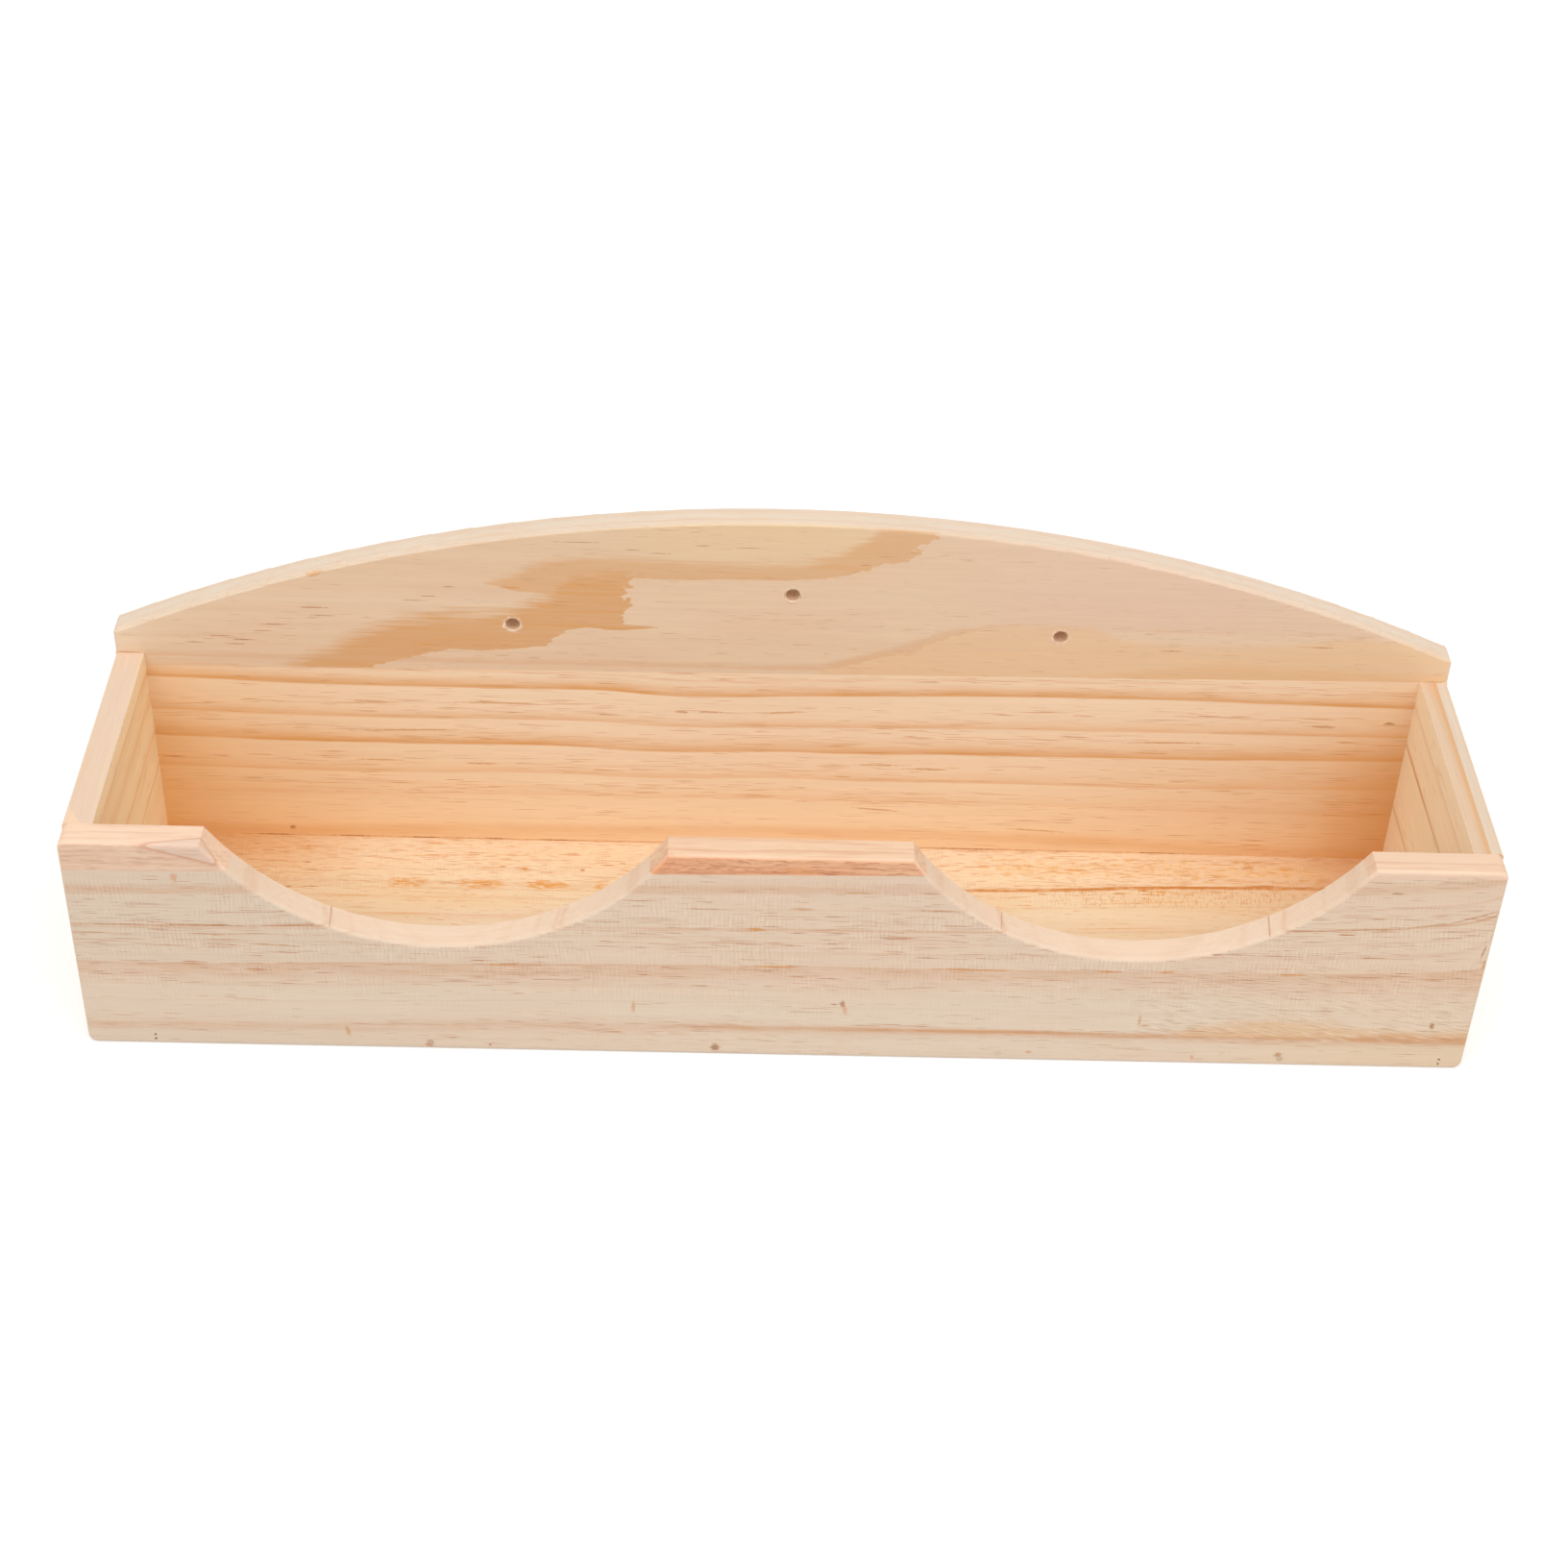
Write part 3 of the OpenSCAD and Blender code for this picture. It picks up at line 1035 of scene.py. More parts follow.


# The boards' finishes. Their rings, courses, figures and marks were set one board at a
# time, to look like the real box.
ALL_ALONG: Points = ((-210.0, 1.0), (210.0, 1.0))
ALL_ACROSS: Points = ((0.0, 1.0), (80.0, 1.0))
FRONT_RIGHT: Points = ((100.0, 0.0), (112.0, 1.0), (195.0, 1.0), (204.0, 0.4))

FRONT_STAVE = PineFinish(
    name="sanded_pine_pale_front_stave",
    grain=Grain.UPRIGHT_WIDE,
    early="#DECBB5",
    late="#CB9468",
    rim="#D9BFA2",
    rim_strength=0.25,
    edge_streaks=0.1,
    top="#E5CCB3",
    face=-48.75,
    tilt=-0.1,
    wave=0.3,
    gaps=(13.0, 1.6),
    gap_depth=0.45,
    tint="#E1C3AA",
    rings=(
        (-6, 0.06), (1.4, 0.05), (5.0, 0.08), (6.0, 0.3), (8.4, 0.32), (9.4, 0.12),
        (13, 0.0), (17.2, 0.02), (17.5, 0.3), (17.9, 0.02), (22.3, 0.04), (23.4, 0.1),
        (23.7, 0.3), (24.0, 0.14), (26.2, 0.16), (28, 0.34), (31.0, 0.4), (31.9, 0.54),
        (32.3, 0.06), (38.4, 0.02), (38.7, 0.2), (39.0, 0.02), (39.9, 0.02), (40.2, 0.36),
        (40.5, 0.02), (42.3, 0.03), (42.6, 0.5), (42.9, 0.03), (44.4, 0.03), (44.7, 0.5),
        (45.0, 0.08), (45.3, 0.12), (45.55, 1.0), (45.85, 0.1), (46.3, 0.02), (50, 0.0),
        (56.2, 0.03), (57.6, 0.4), (59.0, 0.44), (60.6, 0.04), (66, 0.02), (80, 0.08),
    ),
    far_rings=(
        (-6, 0.06), (0, 0.04), (3, 0.0), (5.2, 0.1), (6.6, 0.42), (7.3, 0.8), (7.9, 0.74),
        (8.7, 0.2), (9.4, 0.04), (12, 0.0), (15.8, 0.03), (16.0, 0.22), (16.3, 0.03),
        (22, 0.03), (26.6, 0.12), (29, 0.3), (31.2, 0.38), (31.9, 0.46), (32.3, 0.06),
        (35.8, 0.03), (37.2, 0.24), (37.6, 0.03), (40.5, 0.03), (40.8, 0.36), (41.2, 0.03),
        (45.0, 0.04), (45.5, 0.8), (45.95, 0.05), (46.2, 0.02), (50.5, 0.02), (51.6, 0.04),
        (52.0, 0.4), (52.4, 0.03), (56.5, 0.05), (58.0, 0.34), (59.6, 0.32), (61.4, 0.03),
        (80, 0.03),
    ),
    fade=(-60.0, 30.0),
    drift=(
        Course(8.0, (
            (-200, 0), (-150, 0.5), (-100, 1.75), (-70, 2.8), (0, 3.5), (60, 3.7),
            (120, 3.3), (160, 3.3), (200, 3.6),
        )),
        Course(36.0, (
            (-200, 0), (-180, -0.4), (-150, 0), (-120, 1.3), (-90, 1.6), (-30, 2.8),
            (0, 3.1), (60, 3.5), (110, 3.8), (145, 4.1), (175, 5.0), (200, 5.8),
        )),
        Course(50.0, (
            (-200, 0), (-150, 0.9), (-100, 1.8), (-63, 2.6), (0, 3.4), (60, 4.2),
            (140, 6.5), (170, 8.0), (185, 9.0), (192, 10.4), (200, 15),
        )),
        Course(62.0, (
            (-200, 0), (-150, 1.5), (-35, 4.5), (20, 5.5), (60, 6.2), (140, 8.0),
            (170, 9.5), (200, 15),
        )),
    ),
    canals=Canals(
        colour="#B4703C", share=0.18, length=9.0, width=0.2, strength=0.85,
        rows=(
            (0, 0.1), (9, 0.5), (13, 0.1), (22, 0.2), (28, 0.75), (31, 0.8), (34, 0.2),
            (38, 0.7), (46, 0.9), (52, 0.5), (60, 0.4), (75, 0.2),
        ),
    ),
    saw=1.35,
    saw_band=(
        (0, 0.2), (14, 0.25), (24, 0.5), (36, 0.95), (50, 1.0), (62, 0.8), (75, 0.5),
    ),
    tones_and_shade=(
        # Warmer above, greyer to the left and yellower to the right.
        ToneAndShade("#E3C6AD", ALL_ALONG, ((0, 0.15), (20, 0.1), (34, 0.5), (50, 0.5), (75, 0.8))),
        ToneAndShade(
            "#D7C3AD", ((-200, 1), (-120, 0.8), (-40, 0.2), (200, 0)),
            ((0, 0.9), (12, 0.5), (24, 0.2), (36, 0.7), (48, 0.8), (75, 0.3)),
        ),
        ToneAndShade(
            "#E0C5A2", ((-200, 0), (110, 0), (150, 0.5), (200, 0.7)),
            ((0, 0.9), (10, 0.8), (20, 0.3), (75, 0.25)),
        ),
    ),
    figures=(
        # A tan patch low at the right, and its darker core.
        Figure("#DCAF80", 0.62, 0.7, (
            Band(
                ((104, 30), (108, 13), (116, 10.5), (150, 10.5), (168, 11.5), (203, 11.0)),
                ((104, 10), (112, 13), (126, 17.5), (140, 19.5), (156, 19), (170, 16.5), (203, 17)),
                1.0, 3.4,
            ),
        )),
        Figure("#CE976A", 0.7, 0.9, (
            Band(
                ((150, 14), (162, 9.2), (203, 8.6)),
                ((150, 10), (163, 12.6), (176, 14.4), (203, 14.0)), 1.8, 2.4,
            ),
        )),
    ),
    feathers=(
        # Torn grain, dark and pale, in the tan patch, and speckle beside and above it.
        Feather(FRONT_RIGHT, ((8, 0), (12, 1), (24, 0.8), (30, 0)), -0.16, "#C9A583", 0.75),
        Feather(FRONT_RIGHT, ((9, 0), (13, 1), (24, 0.8), (28, 0)), -0.24, "#EBD9C4", 0.55),
        Feather(
            ((-70, 0), (-50, 1), (20, 0.7), (60, 0)), ((2, 0), (8, 1), (12, 1), (15, 0)),
            -0.12, "#CFA887", 0.6,
        ),
        Feather(
            ((110, 0), (125, 1), (160, 1), (175, 0)),
            ((26, 0), (30, 1), (37, 1), (40, 0)), -0.1, "#C79D78", 0.7,
        ),
    ),
    marks=(
        # Nicks and dark spots, resin dashes, short lines and, last, dark stretches of rings.
        Marks("#A86C3C", 0.75, (
            (17.6, 21.0, 0.9, 1.6), (15.2, 20.8, 1.2, 0.3), (-84, 2.2, 0.6, 0.5),
            (188.5, 17.0, 0.8, 1.6),
        )),
        Marks("#B8794A", 0.7, (
            (-101.5, 1.7, 1.5, 1.1), (-18.8, 3.0, 1.7, 1.6), (145.6, 4.3, 1.5, 1.2),
            (170, 67.0, 2.4, 0.5), (198, 46, 0.4, 3.0, -0.15),
        )),
        Marks("#D08C40", 0.8, (
            (-8, 48.8, 3.2, 0.8), (-2, 34.9, 7.0, 0.4), (54, 35.2, 15.0, 0.4),
            (93, 35.6, 5.0, 0.5), (109, 35.8, 3.0, 0.5), (145, 35.8, 5.0, 0.4),
            (-80, 33.5, 5.0, 0.3), (199, 41, 0.4, 2.5, -0.1),
        )),
        Marks("#CB9664", 0.7, (
            (66, 11.3, 50.0, 0.5), (20, 63.0, 8.0, 0.4), (5, 56.6, 4.6, 0.4),
            (103.6, 17.0, 0.45, 2.6), (105.4, 14.9, 1.8, 0.4), (-124.8, 6.6, 0.8, 2.4, 0.25),
        )),
        Marks("#CF9468", 0.6, (
            (18.3, 18.6, 0.8, 2.2, 0.1), (-42.4, 18.5, 0.7, 2.4), (-169, 63.5, 1.2, 2.2),
            (72.5, 3.4, 1.0, 0.7), (120.5, 2.6, 0.6, 1.0),
        )),
        Marks("#B8763F", 0.6, (
            (43, 57.0, 6.5, 0.35), (-23, 56.0, 7.0, 0.3), (166, 57.6, 3.4, 0.35),
            (-160, 43.0, 11.0, 0.22), (-194, 42.6, 5.0, 0.22), (-185, 40.5, 6.0, 0.22),
            (-157, 41.0, 8.0, 0.2), (-143, 39.3, 6.0, 0.2),
        )),
        Marks("#B47A48", 0.7, (
            (147, 52.5, 8.0, 0.26, 0.02), (165, 53.5, 12.0, 0.28, 0.06),
            (181, 55.4, 7.0, 0.28, 0.16), (193, 58.8, 8.0, 0.32, 0.36),
            (187, 50.9, 5.0, 0.24, 0.08), (150, 48.4, 6.0, 0.2, 0.03),
        )),
        Marks("#B06E3E", 0.8, (
            (-186, 45.9, 12.0, 0.2), (-162, 46.1, 14.0, 0.24), (-139, 46.7, 11.0, 0.22, 0.04),
        )),
    ),
    planes=tuple(
        RingPlane(
            (x, -44.5, z), (turn, lean, 0.0), "#E6C0A4", 0.2, "#B4755A", width, strength, 3.0, 9.0
        )
        for x, z, turn, lean, width, strength in (
            (-127.6, 48.0, 1.0, 0.05, 0.3, 0.7),
            (61.2, 50.0, -1.0, 0.08, 0.26, 0.6),
            (137.0, 54.0, 1.0, -0.08, 0.3, 0.7),
        )
    ),
)

STRIP = PineFinish(
    name="sanded_pine_top_strip",
    grain=Grain.UPRIGHT_WIDE,
    early="#E9B68E",
    late="#C57E55",
    # A pale rim: paler sanded fibre with a painted highlight along the eased edge.
    rim="#F6CFB2",
    top="#E8CAAC",
    face=-48.75,
    tilt=0.9,
    wave=3.4,
    gaps=(5.0, 1.1),
    gap_depth=0.8,
    tint="#E89F74",
    tint_strength=0.6,
    rings=(
        (60, 0.2), (66, 0.5), (67.0, 0.1), (68.0, 0.55), (68.8, 0.15), (70.0, 0.6),
        (70.8, 0.1), (71.8, 0.5), (72.8, 0.1), (74.0, 0.4), (75, 0.1), (80, 0.2),
    ),
    canals=Canals(colour="#B06C45", share=1.6, length=3.0, width=0.36, strength=0.5),
)

LEFT_TAB = replace(
    STRIP,
    name="sanded_pine_left_tab",
    early="#E7C7AD",
    late="#CF9F7D",
    tint="#E2BFA2",
    top="#F1CFB3",
    wave=2.6,
    canals=Canals(colour="#B0825F", share=1.0, length=4.0, width=0.32, strength=0.5),
    planes=(
        RingPlane(
            (-177, -48.75, 74.3), (1.0, -5.6, 3.3), "#DDBFAB", 0.7, "#C48868", 0.24, 0.55
        ),
        RingPlane(
            (-177, -48.75, 74.0), (1.0, -5.6, 3.3), "#DDBFAB", 0.0, "#D2A084", 0.5, 0.3
        ),
    ),
)

CENTRE_TAB = replace(
    STRIP,
    name="sanded_pine_centre_tab",
    planes=(
        RingPlane(
            (-33.4, -48.75, 70.5), (-1.0, -1.2, 0.64), "#E58E58", 0.85, "#D98E60", 0.3,
            0.2, 2.6,
        ),
    ),
    marks=(
        Marks("#DE9862", 0.7, ((4.0, 70.4, 7.0, 1.3),)),
        Marks("#BC7850", 0.55, (
            (-20, 71.4, 4.0, 0.5, 0.3), (-12, 73.4, 3.0, 0.5, -0.3), (22, 72, 6.0, 0.5, -0.1),
            (30, 70, 4.0, 0.5, 0.2), (-2, 72.6, 3.0, 0.4, 0.1), (12, 69.6, 4.0, 0.4, -0.15),
        )),
    ),
)

RIGHT_TAB = replace(
    STRIP,
    name="sanded_pine_right_tab",
    early="#EAC9AF",
    late="#D4A583",
    tint="#ECCDB8",
    tint_strength=0.4,
    top="#E6C5A8",
    rings=(
        (60, 0.1), (67, 0.3), (67.8, 0.1), (69.6, 0.3), (70.4, 0.1), (72, 0.2), (74, 0.1),
        (80, 0.1),
    ),
    wave=0.8,
    gaps=(9.0, 1.2),
    gap_depth=0.5,
    canals=Canals(colour="#B08468", share=0.4, length=4.0, width=0.3, strength=0.5),
    top_bands=((-48, 0.0), (-45.3, 0.0), (-44.9, 0.45), (-44.6, 0.5), (-44.3, 0.0), (-40, 0.0)),
    marks=(
        Marks("#C5967A", 0.7, ((183.5, 70.2, 2.2, 0.9), (170, 67.4, 2.4, 0.5))),
    ),
)

BACK_UPPER = PineFinish(
    name="sanded_pine_figured_back_stave",
    grain=Grain.UPRIGHT_WIDE,
    early="#ECD3B6",
    late="#D9A87E",
    rim="#D6C0A8",
    rim_strength=0.75,
    edge_streaks=0.2,
    top="#DCCDBB",
    face=40.25,
    tilt=-0.2,
    wave=1.4,
    tint="#EBCAAE",
    rings=(
        (66, 0.2), (70, 0.2), (72, 0.1), (74, 0.2), (76, 0.06), (78.6, 0.16), (80, 0.04),
        (82, 0.18), (83.4, 0.05), (87, 0.12), (89, 0.05), (93, 0.2), (95, 0.05), (101, 0.18),
        (103, 0.04), (110, 0.15), (113, 0.03), (119, 0.2), (122, 0.05), (130, 0.05),
    ),
    far_rings=(
        (66, 0.1), (74, 0.08), (78, 0.03), (84, 0.1), (88, 0.02), (96, 0.08), (104, 0.02),
        (112, 0.08), (130, 0.02),
    ),
    fade=(-90.0, -40.0),
    canals=Canals(
        colour="#B47840", share=0.0, length=8.0, width=0.25, strength=0.5,
        rows=((70, 0.2), (80, 0.5), (86, 0.3), (94, 0.3), (104, 0.2), (112, 0.4), (118, 0.4)),
    ),
    top_bands=(
        (40, 0.05), (41.5, 0.1), (42.3, 0.34), (42.9, 0.1), (45.2, 0.06), (46.4, 0.3),
        (47.4, 0.1), (49, 0.05),
    ),
    tones_and_shade=(
        # Tan high on the left, cream high in the middle and pink on the right.
        ToneAndShade(
            "#E2C3A1", ((-210, 0), (-180, 0.2), (-140, 0.5), (-60, 0.6), (0, 0.3), (210, 0.2)),
            ((60, 0), (95, 0), (106, 0.6), (128, 0.7)),
        ),
        ToneAndShade(
            "#ECCFA6", ((-210, 0), (-70, 0), (-30, 0.7), (15, 0.8), (32, 0.0), (210, 0)),
            ((60, 0), (104, 0), (113, 0.5), (121, 1.0), (128, 1.0)),
        ),
        ToneAndShade(
            "#E8CAB3", ((-210, 0), (20, 0), (60, 0.5), (110, 1.0), (160, 0.6), (210, 0.2)),
            ((60, 0), (88, 0.2), (96, 0.7), (126, 0.7)),
        ),
    ),
    figures=(
        # The dark figure: its body, a thin foot and the arm under the arch. Then the paler
        # ones low on the right.
        Figure("#DDA76E", 0.88, 1.0, (
            Band(
                (
                    (-158, 73), (-150, 71), (-125, 71.2), (-118, 74), (-112, 76), (-105, 78),
                    (-100, 79), (-90, 78.6), (-80, 79.8), (-71, 81), (-69, 84), (-65, 86.5),
                    (-60, 88), (-52, 87.2), (-48.6, 87.6), (-47.4, 98), (-46.4, 112),
                    (-40, 130),
                ),
                (
                    (-158, 70), (-150, 74), (-140, 80), (-130, 86), (-120, 91), (-110, 94.5),
                    (-100, 95.5), (-85, 96.5), (-80, 98.5), (-75, 101), (-70, 104), (-66, 109),
                    (-62, 112), (-50, 113), (-40, 113),
                ),
                0.35, 7.5,
            ),
            Band(
                ((-60, 100), (-52, 87.2), (-46, 87.4), (-39, 88.2), (-36, 100)),
                ((-60, 86), (-52, 89.8), (-46, 89.6), (-39, 89.0), (-36, 86)),
                0.35, 0.6,
            ),
            Band(
                (
                    (-92, 107), (-88, 102.5), (-80, 100.5), (-66, 99), (-57, 98), (-53, 106.4),
                    (-40, 105.8), (-28, 105.8), (-20, 106.3), (0, 106.4), (10, 107.3),
                    (20, 109.5), (28, 112.8), (34, 114.2), (36, 117), (38, 120), (46, 125),
                ),
                (
                    (-92, 102), (-88, 106), (-80, 109), (-75, 112), (-66, 114.4),
                    (-40, 114.6), (-20, 113.8), (0, 114.4), (8, 116), (15, 118.5),
                    (19, 121), (23, 124), (28, 128), (44, 131), (46, 122),
                ),
                0.35, 4.4, 0.7,
            ),
        )),
        Figure("#EDC798", 0.55, 0.9, (
            Band(
                ((5, 60), (203, 60)),
                (
                    (5, 67), (14, 77), (25, 81.5), (35, 84), (40, 86.6), (48, 89), (56, 92),
                    (75, 93.6), (90, 93.4), (97, 90.4), (105, 88.4), (140, 88), (150, 88.6),
                    (165, 91), (185, 90.5), (203, 87),
                ),
                0.4, 2.4,
            ),
        )),
        Figure("#E8B986", 0.5, 0.6, (
            Band(
                ((80, 60), (203, 60)),
                ((80, 73), (100, 78), (115, 80), (130, 81.4), (150, 81), (203, 79)),
                0.4, 4.4,
            ),
        )),
        Figure("#E0B68C", 0.5, 1.0, (
            Band(
                ((10, 74), (24, 78), (35, 81), (48, 87), (60, 91)),
                ((10, 77), (24, 82), (35, 85.5), (48, 91), (60, 92.5)), 0.4, 2.0,
            ),
        )),
    ),
    marks=(
        Marks("#B87236", 0.75, (
            (-140, 93.0, 5.5, 0.26), (-137.5, 90.2, 4.5, 0.2), (-152, 86.6, 5.0, 0.26),
            (-156, 84.2, 4.0, 0.2), (-168, 82.0, 4.5, 0.2), (-161, 80.8, 4.0, 0.28),
            (-176, 79.5, 3.5, 0.2), (-164, 79.2, 4.0, 0.2), (160, 87.0, 5.0, 0.22),
            (115, 84.5, 4.0, 0.22),
        )),
        Marks("#AE7440", 0.6, (
            (-110, 96.4, 4.5, 0.2), (-106, 98.0, 3.0, 0.2), (-100, 101.5, 2.0, 0.26),
            (-62, 118.2, 8.0, 0.2), (-46, 116.0, 3.0, 0.2), (-38, 115.0, 4.0, 0.2),
            (-26, 118.0, 3.0, 0.2), (-12, 117.6, 5.0, 0.2), (22, 112.6, 2.0, 0.2),
            (-196, 75.2, 4.6, 0.35), (196, 75.2, 4.6, 0.35),
        )),
        Marks("#DA9848", 0.55, (
            (-138.5, 105.0, 3.2, 0.8, 0.3), (-82, 101.8, 4.0, 0.5), (-107, 80.5, 6.0, 0.28),
        )),
    ),
    bores=(Bore(-81.4, 88.6), Bore(1.2, 101.4), Bore(81.4, 88.6)),
)

BACK_LOWER = PineFinish(
    name="sanded_pine_warm_back_stave",
    grain=Grain.UPRIGHT_WIDE,
    early="#F2D6B0",
    late="#E2A055",
    rim="#F0D2AE",
    top="#EED4B6",
    face=40.25,
    tilt=-0.3,
    wave=0.4,
    gaps=(30.0, 2.6),
    tint="#FADBB6",
    rings=(
        (0, 0.11), (5, 0.18), (8.2, 0.43), (10.2, 0.29), (11.8, 0.06), (16, 0.03), (20, 0.07),
        (22.6, 0.1), (23.2, 0.29), (24.6, 0.2), (26.6, 0.09), (27.2, 0.22), (27.7, 0.06),
        (31.8, 0.04), (32.4, 0.48), (34.6, 0.18), (37, 0.09), (43.1, 0.03), (43.7, 0.86),
        (44.4, 0.65), (46.6, 0.29), (49.4, 0.06), (53.0, 0.03), (53.5, 0.54), (55.0, 0.26),
        (57, 0.06), (64.9, 0.03), (65.4, 0.86), (66.2, 0.62), (68.4, 0.26), (70, 0.07),
        (70.6, 0.09), (71.2, 0.29), (71.8, 0.07), (80, 0.07),
    ),
    drift=(
        Course(8.0, (
            (-200, -1), (-140, 0), (-60, 2.2), (0, 3.6), (60, 3.0), (140, -0.5), (200, -3),
        )),
        Course(38.0, (
            (-200, 1.3), (-170, 0.4), (-140, -0.2), (-110, -0.1), (-80, 0.3), (-60, -0.1),
            (-35, -1.1), (0, 0.1), (20, -0.4), (60, -0.1), (110, -0.2), (150, 0.8),
            (200, 2.0),
        )),
        Course(66.0, (
            (-200, 1.7), (-170, 0.9), (-140, 0.0), (-100, -0.1), (-60, 0.0), (-28, -1.7),
            (0, -0.9), (30, 0.0), (70, 1.0), (100, 1.3), (150, 0.5), (200, -0.6),
        )),
    ),
    canals=Canals(
        colour="#D08A44", share=0.3, length=12.0, width=0.26, strength=0.65,
        rows=(
            (0, 0.2), (12, 0.3), (20, 0.2), (24, 0.8), (28, 0.9), (31, 0.1), (35, 0.7),
            (38, 0.9), (41, 0.1), (46, 0.8), (50, 0.9), (52, 0.2), (57, 0.8), (60, 0.9),
            (63, 0.0), (67, 0.3), (70, 0.9), (72, 0.6),
        ),
    ),
    tones_and_shade=(
        # A paler planed skin, warmer low down, and towards both ends an orange that is painted
        # shade of the corners.
        ToneAndShade("#FBE3C6", ALL_ALONG, ALL_ACROSS, True),
        # Painted shade of the left corner, on the inner face only.
        ToneAndShade("#FAD8AC", ALL_ALONG, ((0, 0.8), (14, 0.5), (28, 0.15), (45, 0.0), (75, 0))),
        ToneAndShade(
            "#F0B86C",
            (
                (-192, 0.8), (-178, 0.55), (-160, 0.38), (-140, 0.27), (-100, 0.12), (-50, 0),
                (192, 0),
            ),
            ((0, 1), (30, 0.95), (45, 0.85), (58, 0.6), (75, 0.35)), True,
        ),
        # Painted shade of the right corner, on the inner face only.
        ToneAndShade(
            "#DFA058",
            (
                (-192, 0), (50, 0), (110, 0.13), (140, 0.22), (160, 0.34), (176, 0.6),
                (192, 0.85),
            ),
            ((0, 1), (30, 0.95), (45, 0.8), (58, 0.45), (75, 0.2)), True,
        ),
    ),
    marks=(
        Marks("#D2924A", 0.65, (
            (-124, 58.9, 7.0, 0.4), (-88, 59.4, 14.0, 0.4), (-92, 36.0, 6.0, 0.4),
            (0, 58.2, 9.0, 0.4, 0.06), (118, 50.0, 14.0, 0.4, 0.02), (-123, 36.6, 8.0, 0.4),
            (-114, 48.4, 20.0, 0.4, 0.03), (45, 37.6, 8.0, 0.5), (30, 38.8, 8.0, 0.4),
            (30, 21.2, 9.0, 0.4, -0.08), (80, 14.2, 12.0, 0.4, -0.05),
        )),
        # Orange dashes, and a long line along the foot at the joint with the floor: painted contact
        # shadow and glue.
        Marks("#C88242", 0.6, (
            (-22, 57.8, 5.0, 0.4), (-31, 57.6, 2.5, 0.6), (165, 57.4, 5.0, 0.5),
            (130, 60.4, 5.0, 0.4), (-5, 6.0, 180.0, 0.3),
        )),
        # Dark spots, then dashes along the foot at the joint with the floor: painted contact shadow
        # and glue.
        Marks("#B0682E", 0.7, (
            (-152.3, 9.0, 1.1, 0.8), (185, 59.2, 2.0, 0.6), (-158, 6.0, 9.0, 0.36),
            (-134, 6.1, 7.0, 0.3), (-112, 6.0, 8.0, 0.34), (-88, 6.1, 5.0, 0.3),
            (-70, 6.0, 7.0, 0.3), (60, 6.0, 12.0, 0.26), (120, 6.0, 9.0, 0.26),
        )),
        Marks("#FCDDB0", 0.7, ((85, 21.8, 45.0, 0.45, -0.012),)),
    ),
)

SIDE_LEFT = PineFinish(
    name="sanded_pine_left_side_board",
    grain=Grain.UPRIGHT_DEEP,
    early="#F2D8B4",
    late="#E8B476",
    rim="#DEC6AC",
    edge_streaks=0.14,
    top="#D9BEA9",
    face=-191.5,
    tilt=0.2,
    wave=0.8,
    tint="#F8DCB4",
    rings=(
        (0, 0.1), (10, 0.14), (20, 0.06), (26, 0.2), (32.0, 0.15), (33.4, 0.62), (34.2, 0.1),
        (39, 0.08), (45.6, 0.3), (46.6, 0.75), (47.4, 0.2), (52, 0.1), (57.2, 0.3),
        (58, 0.6), (61, 0.35), (63.6, 0.2), (65, 0.3), (67.8, 0.5), (68.8, 0.65),
        (69.6, 0.1), (76, 0.1),
    ),
    canals=Canals(colour="#D0904E", share=0.4, length=9.0, width=0.4, strength=0.6),
    tones_and_shade=(
        ToneAndShade("#FDE8C2", ALL_ALONG, ALL_ACROSS, True),
        ToneAndShade("#FEDFB4", ALL_ALONG, ((0, 0.4), (14, 0.25), (26, 0.1), (60, 0.0), (75, 0))),
    ),
    planes=(
        RingPlane(
            (-200, -32, 75), (-0.832, -0.555, 0.0), "#F3CFA8", 0.6, "#EFCBA6", 0.3, 0.2,
            0.4, 12.0,
        ),
    ),
)

SIDE_RIGHT = PineFinish(
    name="sanded_pine_right_side_board",
    grain=Grain.UPRIGHT_DEEP,
    early="#F2DAB8",
    late="#CC8E48",
    rim="#DCC6B0",
    edge_streaks=0.14,
    top="#D4C1AE",
    face=191.5,
    tilt=-0.2,
    wave=0.5,
    tint="#F8DEBE",
    rings=(
        (0, 0.1), (12, 0.06), (26.4, 0.1), (27.2, 0.6), (28.0, 0.2), (30, 0.06),
        (50.6, 0.1), (51.4, 0.95), (52.2, 0.3), (53.4, 0.08), (65, 0.1), (66.6, 0.34),
        (67.6, 0.06), (76, 0.05),
    ),
    canals=Canals(colour="#D0904E", share=0.25, length=9.0, width=0.4, strength=0.6),
    tones_and_shade=(
        ToneAndShade("#FDEACA", ALL_ALONG, ALL_ACROSS, True),
        ToneAndShade("#FDE0BA", ALL_ALONG, ((0, 0.4), (14, 0.2), (26, 0.1), (60, 0.0), (75, 0))),
    ),
    top_bands=(
        (191, 0.34), (193.6, 0.36), (194.6, 0.44), (195.6, 0.74), (196.2, 0.8), (196.6, 0.0),
        (198.6, 0.0), (199.2, 0.25), (200, 0.25),
    ),
)

